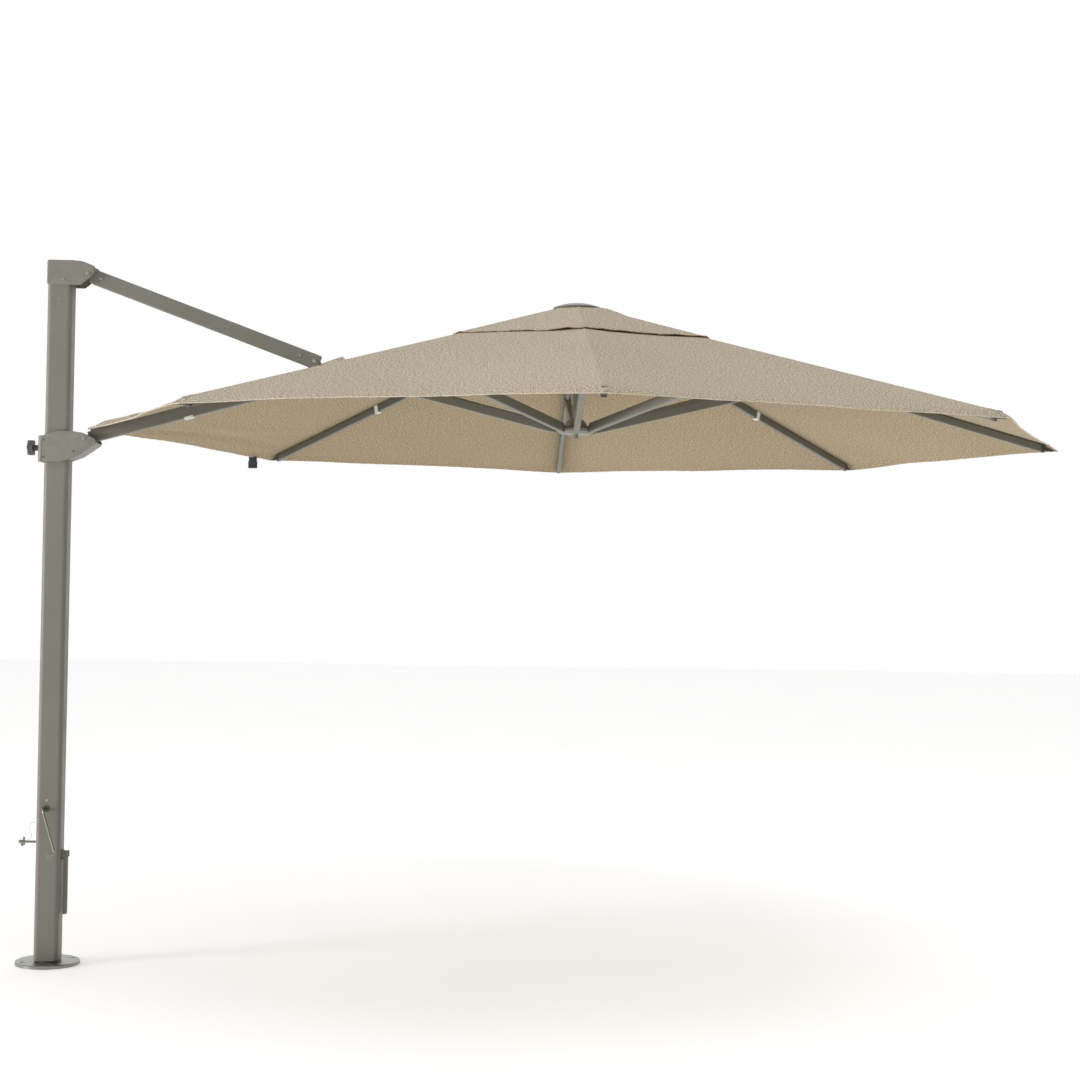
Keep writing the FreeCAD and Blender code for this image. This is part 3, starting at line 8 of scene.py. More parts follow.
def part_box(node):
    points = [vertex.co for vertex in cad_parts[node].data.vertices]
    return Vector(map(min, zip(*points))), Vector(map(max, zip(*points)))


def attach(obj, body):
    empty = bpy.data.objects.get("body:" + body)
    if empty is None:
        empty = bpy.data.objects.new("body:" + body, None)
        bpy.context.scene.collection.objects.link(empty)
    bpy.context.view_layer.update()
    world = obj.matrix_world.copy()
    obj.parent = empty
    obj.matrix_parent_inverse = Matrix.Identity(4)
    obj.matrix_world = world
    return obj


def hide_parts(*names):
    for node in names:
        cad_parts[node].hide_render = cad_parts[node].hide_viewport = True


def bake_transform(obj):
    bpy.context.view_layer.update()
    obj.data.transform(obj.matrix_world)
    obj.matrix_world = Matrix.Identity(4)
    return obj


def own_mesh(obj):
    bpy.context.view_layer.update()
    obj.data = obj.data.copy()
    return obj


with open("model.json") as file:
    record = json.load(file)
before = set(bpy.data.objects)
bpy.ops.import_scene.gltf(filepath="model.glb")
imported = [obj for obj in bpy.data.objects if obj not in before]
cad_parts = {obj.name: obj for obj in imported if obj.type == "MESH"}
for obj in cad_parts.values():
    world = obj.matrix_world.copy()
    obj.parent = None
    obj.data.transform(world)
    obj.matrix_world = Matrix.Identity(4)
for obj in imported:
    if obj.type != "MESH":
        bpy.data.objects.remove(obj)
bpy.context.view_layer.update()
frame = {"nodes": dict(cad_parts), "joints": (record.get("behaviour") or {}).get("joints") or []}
nodes = frame["nodes"]
joints = {joint["name"]: joint for joint in frame["joints"]}
scene = bpy.context.scene


def joint_place(name):
    return Vector(joints[name]["pos_m"])


# ---------------------------------------------------------------------------
# Driving places and sizes, in metres, from the frame
# ---------------------------------------------------------------------------
SIDES = 8
ARM_SIDE = 4
FIRST_RIB = joint_place("rib_1_fold")
HUB_X = (joint_place("hub_pivot").x + FIRST_RIB.x) / 2
CANOPY_LOW, CANOPY_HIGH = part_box("canopy")
RADIUS = (CANOPY_HIGH.y - CANOPY_LOW.y) / 2
FABRIC = 0.0014
APEX_LEVEL = 2.716
HEM_LEVEL = 2.164
ARM_HEM_LEVEL = 2.173
TIP_START = RADIUS - 0.06
TIP_DROP = 0.014
RIB_BODIES = {0: "rib_1", 1: "rib_2", 2: "rib_3", 3: "rib_4", 4: "arm",
              5: "rib_5", 6: "rib_6", 7: "rib_7"}


# ---------------------------------------------------------------------------
# Camera
# ---------------------------------------------------------------------------
def make_camera():
    """Stands in front of the parasol, level with the crank, with a slight upward tilt."""
    data = bpy.data.cameras.new("camera")
    camera = bpy.data.objects.new("camera", data)
    scene.collection.objects.link(camera)
    scene.camera = camera
    data.sensor_width = 36.0
    data.lens = 63.13
    data.clip_end = 200.0
    turn, tilt, roll = -0.026, 0.0258, 0.0152
    forward = Vector((-math.sin(turn) * math.cos(tilt), math.cos(turn) * math.cos(tilt),
                      math.sin(tilt)))
    camera.rotation_mode = "QUATERNION"
    camera.location = (1.7697, -7.7719, 1.5485)
    camera.rotation_quaternion = (forward.to_track_quat("-Z", "Y")
                                  @ Quaternion((0, 0, 1), roll))


make_camera()


# ---------------------------------------------------------------------------
# Mesh helpers
# ---------------------------------------------------------------------------
SHARP_ANGLE = math.radians(50)


def new_piece(name, vertices, faces, materials, face_materials=None, smooth=True):
    mesh = bpy.data.meshes.new(name)
    mesh.from_pydata([tuple(v) for v in vertices], [], faces)
    piece = bpy.data.objects.new(name, mesh)
    scene.collection.objects.link(piece)
    for each in materials:
        mesh.materials.append(each)
    if face_materials:
        mesh.polygons.foreach_set("material_index", face_materials)
    mesh.polygons.foreach_set("use_smooth", [smooth] * len(mesh.polygons))
    mesh.validate()
    mesh.update()
    if smooth:
        mesh.set_sharp_from_angle(angle=SHARP_ANGLE)
    return piece


class Build:
    """Collects vertices, faces and material numbers of one piece."""

    def __init__(self):
        self.vertices = []
        self.faces = []
        self.slots = []

    def add(self, vertices, faces, slot=0):
        first = len(self.vertices)
        self.vertices += [Vector(v) for v in vertices]
        self.faces += [tuple(first + i for i in face) for face in faces]
        self.slots += [slot] * len(faces)

    def grid(self, rows, slot=0, closed=False):
        """A surface through rows of points."""
        wide = len(rows[0])
        faces = []
        for r in range(len(rows) - 1):
            for c in range(wide if closed else wide - 1):
                a, b = r * wide + c, r * wide + (c + 1) % wide
                faces.append((a, b, b + wide, a + wide))
        self.add([p for row in rows for p in row], faces, slot)

    def tube(self, path, ring_at, slot=0):
        """A closed tube along a path; ring_at gives the ring of points at each step."""
        rings = [ring_at(index) for index in range(len(path))]
        wide = len(rings[0])
        self.grid(rings, slot, closed=True)
        last = len(self.vertices) - wide
        first = len(self.vertices) - wide * len(rings)
        self.faces.append(tuple(range(first, first + wide))[::-1])
        self.faces.append(tuple(range(last, last + wide)))
        self.slots += [slot, slot]

    def piece(self, name, materials, smooth=True):
        return new_piece(name, self.vertices, self.faces, materials, self.slots, smooth)


def direction_at(path, index):
    before = path[max(index - 1, 0)]
    after = path[min(index + 1, len(path) - 1)]
    return (after - before).normalized()


def oval_ring(centre, along, up, wide, high, count=10):
    side = along.cross(up).normalized()
    rise = side.cross(along).normalized()
    ring = []
    for step in range(count):
        angle = 2 * math.pi * step / count
        ring.append(centre + side * (wide * math.cos(angle)) + rise * (high * math.sin(angle)))
    return ring


# ---------------------------------------------------------------------------
# Materials
# ---------------------------------------------------------------------------
class Nodes:
    """A short way to write a node material."""

    def __init__(self, name):
        self.material = bpy.data.materials.new(name)
        self.material.use_nodes = True
        self.tree = self.material.node_tree
        self.shader = self.tree.nodes["Principled BSDF"]
        self.coordinates = self.tree.nodes.new("ShaderNodeTexCoord").outputs["Object"]

    def new(self, kind, **values):
        made = self.tree.nodes.new(kind)
        for key, value in values.items():
            if key in made.inputs:
                made.inputs[key].default_value = value
            else:
                setattr(made, key, value)
        return made

    def link(self, source, target):
        self.tree.links.new(source, target)

    def stretched(self, scale):
        mapping = self.new("ShaderNodeMapping")
        mapping.inputs["Scale"].default_value = scale
        self.link(self.coordinates, mapping.inputs["Vector"])
        return mapping.outputs["Vector"]

    def noise(self, scale, detail=3.0, rough=0.5, vector=None):
        made = self.new("ShaderNodeTexNoise", Scale=scale, Detail=detail, Roughness=rough)
        self.link(vector or self.coordinates, made.inputs["Vector"])
        return made.outputs["Fac"]

    def spread(self, value, low, high, start=0.3, end=0.7):
        made = self.new("ShaderNodeMapRange")
        for key, number in (("From Min", start), ("From Max", end), ("To Min", low),
                            ("To Max", high)):
            made.inputs[key].default_value = number
        self.link(value, made.inputs["Value"])
        return made.outputs["Result"]

    def ramp(self, value, stops):
        made = self.new("ShaderNodeValToRGB")
        elements = made.color_ramp.elements
        while len(elements) < len(stops):
            elements.new(0.5)
        for element, (place, colour) in zip(elements, stops):
            element.position = place
            element.color = (*colour, 1.0)
        self.link(value, made.inputs["Fac"])
        return made.outputs["Color"]

    def mix(self, share, first, second, kind="MIX"):
        made = self.new("ShaderNodeMix", data_type="RGBA", blend_type=kind)
        for source, socket in ((share, made.inputs[0]), (first, made.inputs[6]),
                               (second, made.inputs[7])):
            if isinstance(source, bpy.types.NodeSocket):
                self.link(source, socket)
            elif isinstance(source, tuple):
                socket.default_value = (*source, 1.0)
            else:
                socket.default_value = source
        return made.outputs[2]

    def bump(self, height, distance, strength=1.0, under=None):
        made = self.new("ShaderNodeBump", Strength=strength, Distance=distance)
        self.link(height, made.inputs["Height"])
        if under is not None:
            self.link(under, made.inputs["Normal"])
        return made.outputs["Normal"]

    def finish(self, colour=None, roughness=None, normal=None, **constants):
        for source, name in ((colour, "Base Color"), (roughness, "Roughness"),
                             (normal, "Normal")):
            if isinstance(source, bpy.types.NodeSocket):
                self.link(source, self.shader.inputs[name])
            elif isinstance(source, tuple):
                self.shader.inputs[name].default_value = (*source, 1.0)
            elif source is not None:
                self.shader.inputs[name].default_value = source
        for name, value in constants.items():
            self.shader.inputs[name.replace("_", " ")].default_value = value
        return self.material


def shade(colour, factor):
    return tuple(min(1.0, channel * factor) for channel in colour)


def powder_coat(name, colour, roughness=0.42):
    """Powder paint: an even tone with faint clouding, a fine grain and dull patches."""
    n = Nodes(name)
    clouds = n.noise(2.3, 4.0, 0.6)
    grain = n.noise(900.0, 2.0, 0.6)
    streaks = n.noise(1.0, 5.0, 0.65, n.stretched((70.0, 70.0, 1.6)))
    tone = n.ramp(clouds, [(0.3, shade(colour, 0.93)), (0.7, shade(colour, 1.06))])
    tone = n.mix(n.spread(streaks, 0.0, 0.35, 0.55, 0.75), tone, shade(colour, 1.16))
    tone = n.mix(n.spread(grain, 0.0, 0.3), tone, shade(colour, 0.86))
    dull = n.spread(n.noise(9.0, 5.0, 0.6), roughness - 0.07, roughness + 0.1)
    normal = n.bump(grain, 0.00012, 0.5)
    return n.finish(tone, dull, normal, Metallic=0.0, Specular_IOR_Level=0.3)


def cast_paint(name, colour, roughness=0.45):
    """Painted casting: a slight orange peel and small pits."""
    n = Nodes(name)
    peel = n.noise(260.0, 3.0, 0.55)
    pits = n.noise(38.0, 6.0, 0.6)
    tone = n.ramp(pits, [(0.32, shade(colour, 0.9)), (0.7, shade(colour, 1.07))])
    dull = n.spread(pits, roughness - 0.06, roughness + 0.12)
    normal = n.bump(peel, 0.0003, 0.35)
    return n.finish(tone, dull, normal, Coat_Weight=0.1, Coat_Roughness=0.4)


def drawn_metal(n, colour):
    """Drawing lines and the tone of an anodised extrusion."""
    lines = n.noise(1.0, 4.0, 0.6, n.stretched((8.0, 8.0, 420.0)))
    clouds = n.noise(3.1, 4.0, 0.6)
    tone = n.ramp(clouds, [(0.3, shade(colour, 0.92)), (0.7, shade(colour, 1.08))])
    return lines, n.mix(n.spread(lines, 0.0, 0.3), tone, shade(colour, 0.82))


def anodised(name, colour, roughness=0.38):
    """Anodised extrusion: fine drawing lines along the bar and a dull metal tone."""
    n = Nodes(name)
    lines, tone = drawn_metal(n, colour)
    dull = n.spread(lines, roughness - 0.07, roughness + 0.08)
    return n.finish(tone, dull, n.bump(lines, 0.00008, 0.4), Metallic=0.55)


CAP_START = 1.9265
RIB_METALNESS = 0.5


def rib_finish(name, colour, cap_colour, roughness=0.38):
    """Anodised rib with a dark moulded cap from CAP_START out to its tip."""
    n = Nodes(name)
    lines, tone = drawn_metal(n, colour)
    flat = n.new("ShaderNodeVectorMath", operation="MULTIPLY")
    flat.inputs[1].default_value = (1.0, 1.0, 0.0)
    n.link(n.coordinates, flat.inputs[0])
    reach = n.new("ShaderNodeVectorMath", operation="DISTANCE")
    reach.inputs[1].default_value = (HUB_X, 0.0, 0.0)
    n.link(flat.outputs["Vector"], reach.inputs[0])
    cap = n.new("ShaderNodeMath", operation="GREATER_THAN")
    n.link(reach.outputs["Value"], cap.inputs[0])
    cap.inputs[1].default_value = CAP_START
    tone = n.mix(cap.outputs[0], tone, cap_colour)
    metal = n.new("ShaderNodeMath", operation="MULTIPLY_ADD")
    n.link(cap.outputs[0], metal.inputs[0])
    metal.inputs[1].default_value = -RIB_METALNESS
    metal.inputs[2].default_value = RIB_METALNESS
    n.link(metal.outputs[0], n.shader.inputs["Metallic"])
    dull = n.spread(lines, roughness - 0.07, roughness + 0.08)
    return n.finish(tone, dull, n.bump(lines, 0.00008, 0.4))


def brushed(name, colour, roughness=0.28, scale=(40.0, 900.0, 40.0)):
    """Brushed or turned steel with fine lines and faint stains."""
    n = Nodes(name)
    lines = n.noise(1.0, 4.0, 0.6, n.stretched(scale))
    stains = n.noise(21.0, 5.0, 0.65)
    tone = n.ramp(stains, [(0.3, shade(colour, 0.84)), (0.7, shade(colour, 1.06))])
    dull = n.spread(lines, roughness - 0.08, roughness + 0.12)
    return n.finish(tone, dull, n.bump(lines, 0.00006, 0.5), Metallic=1.0)


def polished(name, colour, roughness=0.12):
    """Polished steel with finger marks and hairline scratches."""
    n = Nodes(name)
    marks = n.noise(33.0, 5.0, 0.6)
    hair = n.noise(1.0, 3.0, 0.7, n.stretched((900.0, 60.0, 60.0)))
    tone = n.ramp(marks, [(0.3, shade(colour, 0.9)), (0.7, colour)])
    dull = n.spread(marks, roughness, roughness + 0.14)
    return n.finish(tone, dull, n.bump(hair, 0.00003, 0.3), Metallic=1.0)


def moulded(name, colour, roughness=0.5, grain_scale=1500.0):
    """Moulded plastic with a fine spark-eroded grain and slight fading."""
    n = Nodes(name)
    grain = n.noise(grain_scale, 2.0, 0.6)
    fade = n.noise(12.0, 4.0, 0.6)
    tone = n.ramp(fade, [(0.3, shade(colour, 0.88)), (0.7, shade(colour, 1.12))])
    dull = n.spread(fade, roughness - 0.06, roughness + 0.1)
    return n.finish(tone, dull, n.bump(grain, 0.00008, 0.5))


STITCH_PLACE = 0.0055
STITCH_HALF = 0.0008
STITCH_PITCH = 0.0032


def woven(name, light, dark, contrast=1.0):
    """Heathered canopy cloth: two yarn tones flecked together in a plain weave."""
    n = Nodes(name)
    uv = n.new("ShaderNodeUVMap", uv_map="cloth").outputs["UV"]

    def yarns(scale):
        mapping = n.new("ShaderNodeMapping")
        mapping.inputs["Scale"].default_value = scale
        n.link(uv, mapping.inputs["Vector"])
        return n.noise(1.0, 2.0, 0.65, mapping.outputs["Vector"])

    def pair(kind, first, second):
        made = n.new("ShaderNodeMath", operation=kind)
        n.link(first, made.inputs[0])
        n.link(second, made.inputs[1])
        return made.outputs[0]

    flecks = pair("ADD", yarns((230.0, 105.0, 1.0)), yarns((105.0, 230.0, 1.0)))
    tone = n.ramp(n.spread(flecks, 0.5 - 0.5 * contrast, 0.5 + 0.5 * contrast, 0.89, 1.11),
                  [(0.0, dark), (1.0, light)])
    fine = pair("ADD", yarns((900.0, 420.0, 1.0)), yarns((420.0, 900.0, 1.0)))
    tone = n.mix(n.spread(fine, 0.0, 0.30, 0.9, 1.15), tone, dark)
    wide = n.noise(1.6, 4.0, 0.6)
    tone = n.mix(n.spread(wide, 0.0, 0.12), tone, shade(dark, 0.9))
    over = n.new("ShaderNodeTexWave", wave_type="BANDS", bands_direction="X", Scale=210.0)
    n.link(uv, over.inputs["Vector"])
    under = n.new("ShaderNodeTexWave", wave_type="BANDS", bands_direction="Y", Scale=210.0)
    n.link(uv, under.inputs["Vector"])
    normal = n.bump(pair("MAXIMUM", over.outputs["Fac"], under.outputs["Fac"]), 0.00035, 0.5)
    normal = n.bump(flecks, 0.0006, 0.45, normal)
    normal = n.bump(seam_stitches(n, uv), 0.0006, 0.6, normal)
    return n.finish(tone, 0.88, normal, Sheen_Weight=0.08, Sheen_Roughness=0.5,
                    Specular_IOR_Level=0.2)


def seam_stitches(n, uv):
    """Two rows of stitches either side of the ridge, sunk into the cloth."""
    parts = n.new("ShaderNodeSeparateXYZ")
    n.link(uv, parts.inputs[0])

    def step(kind, first, second):
        made = n.new("ShaderNodeMath", operation=kind)
        for source, socket in ((first, made.inputs[0]), (second, made.inputs[1])):
            if isinstance(source, bpy.types.NodeSocket):
                n.link(source, socket)
            else:
                socket.default_value = source
        return made.outputs[0]

    aside = step("ABSOLUTE", parts.outputs["X"], 0.0)
    off = step("ABSOLUTE", step("SUBTRACT", aside, STITCH_PLACE), 0.0)
    row = step("LESS_THAN", off, STITCH_HALF)
    along = step("FRACT", step("DIVIDE", parts.outputs["Y"], STITCH_PITCH), 0.0)
    gap = step("GREATER_THAN", along, 0.3)
    return step("SUBTRACT", 1.0, step("MULTIPLY", row, gap))


def webbing(name, colour):
    """Narrow woven tape."""
    n = Nodes(name)
    ribs = n.new("ShaderNodeTexWave", wave_type="BANDS", bands_direction="Z", Scale=260.0)
    n.link(n.coordinates, ribs.inputs["Vector"])
    tone = n.ramp(n.noise(160.0, 3.0, 0.6), [(0.3, shade(colour, 0.86)), (0.7, colour)])
    return n.finish(tone, 0.8, n.bump(ribs.outputs["Fac"], 0.0003, 0.5), Sheen_Weight=0.2)


TAUPE = (0.198, 0.192, 0.163)
CLOTH_LIGHT = (0.70, 0.605, 0.475)
CLOTH_DARK = (0.25, 0.20, 0.14)
# Underside yarn tones: the same cloth as the top, painted darker and more saturated as painted
# shade for the canopy's underside.
UNDER_PAINTED_SHADE_LIGHT = (0.56, 0.455, 0.295)
UNDER_PAINTED_SHADE_DARK = (0.205, 0.152, 0.083)

powder = powder_coat("powder_taupe", TAUPE)
powder_darker = powder_coat("powder_taupe_darker", shade(TAUPE, 0.85), 0.4)
cast = cast_paint("cast_taupe", shade(TAUPE, 1.02))
rib_metal = rib_finish("rib_anodised", shade(TAUPE, 0.85), (0.05, 0.047, 0.042))
brace_metal = anodised("stretcher_anodised", shade(TAUPE, 1.0))
steel = brushed("brushed_steel", (0.60, 0.59, 0.57))
base_steel = brushed("base_steel", (0.30, 0.30, 0.27), 0.30, (60.0, 60.0, 900.0))
bright = polished("polished_steel", (0.34, 0.31, 0.27))
pin_steel = brushed("pin_steel", (0.32, 0.30, 0.27))
gear_steel = brushed("gear_steel", (0.42, 0.41, 0.40), 0.35)
dark_plastic = moulded("dark_plastic", (0.075, 0.072, 0.066))
pale_plastic = moulded("pale_plastic", (0.50, 0.49, 0.45), 0.45)
grip_plastic = moulded("grip_plastic", (0.22, 0.21, 0.20), 0.4)
finial_paint = cast_paint("finial_paint", shade(TAUPE, 0.85), 0.3)
rope = webbing("braided_rope", (0.62, 0.60, 0.55))
cloth_top = woven("cloth_top", CLOTH_LIGHT, CLOTH_DARK)
# Underside faces and rims of the cloth: painted shade, darker copies of the top cloth's colours.
cloth_under_painted_shade = woven("cloth_under_painted_shade", UNDER_PAINTED_SHADE_LIGHT, UNDER_PAINTED_SHADE_DARK)
binding = woven("cloth_binding", shade(CLOTH_LIGHT, 1.05), shade(CLOTH_LIGHT, 0.62), 0.8)
white_tape = webbing("white_tape", (0.82, 0.81, 0.79))
black_tape = webbing("black_tape", (0.03, 0.03, 0.03))
wire_metal = polished("wire_steel", (0.33, 0.32, 0.30), 0.25)

NODE_FINISH = {
    powder: ["mast_tube", "strut_tube", "lever_bracket", "turn_lever"],
    powder_darker: ["arm_tube", "upper_guide_tube", "lower_guide_tube"],
    cast: ["top_cap", "strut_top_fitting", "strut_end_fitting", "arm_heel", "arm_bracket",
           "arm_nose", "carriage_body", "carriage_rear_cover", "cord_clamp", "top_hub",
           "lower_hub"],
    rib_metal: ["rib_%d" % i for i in range(1, 8)],
    brace_metal: ["stretcher_%d" % i for i in range(1, 9)],
    steel: ["mast_screws", "strut_pivot_pin", "strut_bolts", "elbow_pin", "arm_pivot_pin",
            "top_hub_pins", "lower_hub_pins"],
    base_steel: ["base_plate", "spigot_tube"],
    bright: ["crank_rod"],
    pin_steel: ["lock_pin"],
    gear_steel: ["drive_pinion", "hoist_axles", "winch_frame"],
    dark_plastic: ["thrust_washer", "mast_grommets", "winch_drum", "head_sheave",
                   "carriage_glides", "carriage_knob", "carriage_screws"],
    pale_plastic: ["mast_bushes"],
    grip_plastic: ["crank_grip"],
    finial_paint: ["finial"],
    rope: ["hoist_cord"],
    wire_metal: ["lanyard"],
    cloth_top: ["canopy"],
}


def finish_nodes():
    """Every carried-over node gets its finish."""
    for finish, names in NODE_FINISH.items():
        for name in names:
            mesh = nodes[name].data
            mesh.materials.clear()
            mesh.materials.append(finish)


finish_nodes()


# ---------------------------------------------------------------------------
# Canopy cloth: one sheet over eight ridges, made in eight parts that meet
# half way between the ribs, so that each part folds with its own rib
# ---------------------------------------------------------------------------
APEX = Vector((HUB_X, 0.0, APEX_LEVEL))
OPENING = 0.48
HEM_BOW = 0.024
SAG = 0.011
RIDGE_ROUND = 0.009
SEAM_HALF = 0.0075
SEAM_RISE = 0.0007
HALF_PANEL = math.pi / SIDES
SLACK_PANEL = 3
CLOTH_SLOPE = 0.25
RIDGE_SIDE_RAMP = 0.002
RIDGE_SIDE_START = SEAM_HALF + 0.0015


def azimuth_of(ridge):
    return 2 * math.pi * ridge / SIDES


def ridge_point(ridge, radius):
    ridge = ridge % SIDES
    level = ARM_HEM_LEVEL if ridge == ARM_SIDE else HEM_LEVEL
    angle = azimuth_of(ridge)
    height = APEX_LEVEL + (level - APEX_LEVEL) * radius / RADIUS
    if ridge != ARM_SIDE and radius > TIP_START:
        height -= TIP_DROP * ((radius - TIP_START) / (RADIUS - TIP_START)) ** 2
    return Vector((HUB_X + radius * math.cos(angle), radius * math.sin(angle), height))


def facet_slope():
    """How fast a facet falls away sideways from its ridge."""
    fall = (APEX_LEVEL - HEM_LEVEL) / RADIUS
    return fall * math.tan(HALF_PANEL)


def cloth_point(ridge, across, radius):
    """A point of the main cloth; across runs from 0 at a ridge to 1 at the next."""
    share = radius / RADIUS
    bow = 4 * across * (1 - across)
    radius = radius - HEM_BOW * bow * share ** 3
    first = ridge_point(ridge, radius)
    second = ridge_point(ridge + 1, radius)
    place = first.lerp(second, across)
    width = (second - first).length
    side = min(across, 1 - across) * width
    soft = math.sqrt(side ** 2 + RIDGE_ROUND ** 2) - RIDGE_ROUND
    lift = facet_slope() * (side - soft)
    pull = SAG * bow * share ** 0.7
    slack = noise.noise(place * 1.7) * 0.007 + noise.noise(place * 5.3) * 0.0022
    tension = 0.0014 * math.sin(side * 95.0) * math.exp(-((1 - share) * RADIUS / 0.16) ** 2)
    place.z += lift - pull + slack * min(1.0, bow * 1.6) + tension * bow
    if ridge == SLACK_PANEL:
        place.z += slack_fold(across, radius) * min(1.0, bow * 2.5)
    return place


def slack_fold(across, radius):
    """Two soft folds along the hem of the panel between the arm and the rib behind."""
    first = (radius - 1.87 + 0.04 * math.sin(across * 5.0)) / 0.030
    second = (radius - 1.66 - 0.10 * across + 0.03 * math.sin(across * 9.0)) / 0.034
    return 0.011 * math.exp(-first ** 2) - 0.005 * math.exp(-second ** 2)


def over_ridge(sheet_point, ridge, turn, radius, has_seam=True):
    """A point of the part over one rib; turn runs from -1 to 1 across it."""
    if turn < 0:
        point = sheet_point((ridge - 1) % SIDES, 1 + turn / 2, radius)
    else:
        point = sheet_point(ridge, turn / 2, radius)
    if has_seam:
        side = abs(turn) * radius * math.sin(HALF_PANEL)
        point.z += SEAM_RISE * smooth_step((RIDGE_SIDE_START - side) / RIDGE_SIDE_RAMP)
    return point


def part_point(ridge, turn, radius):
    return over_ridge(cloth_point, ridge, turn, radius, ridge != ARM_SIDE)


def smooth_step(value):
    value = min(1.0, max(0.0, value))
    return value * value * (3 - 2 * value)


NEAR_SIDES = [0.0, 0.003, 0.0055, 0.0072, 0.008, 0.0088, 0.0105, 0.014, 0.020, 0.030]


def side_turns(radius, far_count, edge=0.0):
    """Turns for one side of a part: fine steps at the seam, even ones beyond."""
    half = radius * math.sin(HALF_PANEL)
    near = [edge + side for side in NEAR_SIDES]
    turns = [side / half for side in near]
    last = turns[-1]
    return turns + [last + (1 - last) * step / far_count for step in range(1, far_count + 1)]


def mirrored(right):
    """Turns for both sides of a part, from those of one side."""
    return [-turn for turn in right[:0:-1]] + right


def both_turns(radius, far_count):
    return mirrored(side_turns(radius, far_count))


def add_sheet(build, rows, thick, slot_top=0, slot_under=1):
    """A closed thin sheet: the rows are its upper face."""
    tall, wide = len(rows), len(rows[0])
    first = len(build.vertices)
    normals = sheet_normals(rows)
    build.vertices += [p for row in rows for p in row]
    build.vertices += [rows[r][c] - normals[r][c] * thick
                       for r in range(tall) for c in range(wide)]
    below = first + tall * wide

    def at(r, c, base=first):
        return base + r * wide + c

    for r in range(tall - 1):
        for c in range(wide - 1):
            build.faces.append((at(r, c), at(r, c + 1), at(r + 1, c + 1), at(r + 1, c)))
            build.slots.append(slot_top)
            build.faces.append((at(r, c, below), at(r + 1, c, below),
                                at(r + 1, c + 1, below), at(r, c + 1, below)))
            build.slots.append(slot_under)
    rim = [(0, c) for c in range(wide)] + [(r, wide - 1) for r in range(1, tall)]
    rim += [(tall - 1, c) for c in range(wide - 2, -1, -1)]
    rim += [(r, 0) for r in range(tall - 2, 0, -1)]
    for (r, c), (s, d) in zip(rim, rim[1:] + rim[:1]):
        build.faces.append((at(r, c), at(r, c, below), at(s, d, below), at(s, d)))
        build.slots.append(slot_under)


def sheet_normals(rows):
    """Upward normals at the points of a grid."""
    tall, wide = len(rows), len(rows[0])
    normals = []
    for r in range(tall):
        line = []
        for c in range(wide):
            down = rows[min(r + 1, tall - 1)][c] - rows[max(r - 1, 0)][c]
            over = rows[r][min(c + 1, wide - 1)] - rows[r][max(c - 1, 0)]
            normal = over.cross(down).normalized()
            line.append(normal if normal.z > 0 else -normal)
        normals.append(line)
    return normals


def flat_uv(piece, ridge):
    """Cloth coordinates in metres: across the rib, and out along it."""
    angle = azimuth_of(ridge)
    out = Vector((math.cos(angle), math.sin(angle), -CLOTH_SLOPE)).normalized()
    side = Vector((-math.sin(angle), math.cos(angle), 0.0))
    layer = piece.data.uv_layers.new(name="cloth")
    for loop in piece.data.loops:
        place = piece.data.vertices[loop.vertex_index].co - APEX
        layer.data[loop.index].uv = (place.dot(side), place.dot(out))


def hem_roll(build, path, wide=0.0032, high=0.0017, slot=2):
    """A rolled edge along a path."""
    up = Vector((0, 0, 1))
    build.tube(path, lambda i: oval_ring(path[i], direction_at(path, i), up, wide, high), slot)


SLIT_HALF = 0.026
BRACKET_BACK = 0.140
SLIT_END = HUB_X - (joint_place("arm_pivot").x + BRACKET_BACK)
SLIT_ROLL = 0.0045
SIDE_COLUMNS = 22
PANEL_ROWS = 70
TIP_ROWS = 8


def radii_between(low, high, count):
    return [low + (high - low) * step / count for step in range(count + 1)]


def cloth_radii(low):
    """Radii of the rows, closer together at the tip."""
    return (radii_between(low, TIP_START, PANEL_ROWS)
            + radii_between(TIP_START, RADIUS, TIP_ROWS)[1:])


def main_part(ridge):
    build = Build()
    if ridge == ARM_SIDE:
        slit_part(build)
        return build
    rows = [[part_point(ridge, turn, radius) for turn in both_turns(radius, SIDE_COLUMNS)]
            for radius in cloth_radii(OPENING)]
    add_sheet(build, rows, FABRIC)
    hem_roll(build, rows[-1])
    return build


def slit_part(build):
    """The arm's side: two flaps either side of the arm, joined above its bracket."""
    inner = [[part_point(ARM_SIDE, turn, radius) for turn in both_turns(radius, SIDE_COLUMNS)]
             for radius in radii_between(OPENING, SLIT_END, PANEL_ROWS // 3)]
    add_sheet(build, inner, FABRIC)
    for way in (-1, 1):
        rows = []
        for radius in radii_between(SLIT_END, RADIUS, PANEL_ROWS):
            half = radius * math.sin(HALF_PANEL)
            row = []
            for turn in side_turns(radius, SIDE_COLUMNS, slit_half(radius)):
                point = part_point(ARM_SIDE, way * turn, radius)
                row.append(raise_slit_edge(point, way, radius,
                                           turn * half - slit_half(radius)))
            rows.append(row if way > 0 else row[::-1])
        add_sheet(build, rows, FABRIC)
        hem_roll(build, rows[-1])
        edge_column = 0 if way > 0 else -1
        hem_roll(build, [row[edge_column] for row in rows], SLIT_ROLL, SLIT_ROLL)


SLIT_TAPER = 0.09
COLLAR_PLACE = 0.07
COLLAR_LENGTH = 0.08
COLLAR_LIFT = 0.020
FRONT_LIFT = 0.003
BACK_LIFT = 0.016
LIFT_WIDTH = 0.035
ROLL_WIDTH = 0.015


def slit_half(radius):
    """Half the slit's width: it closes to a point behind the bracket."""
    return SLIT_HALF * min(1.0, (radius - SLIT_END) / SLIT_TAPER + 0.04)


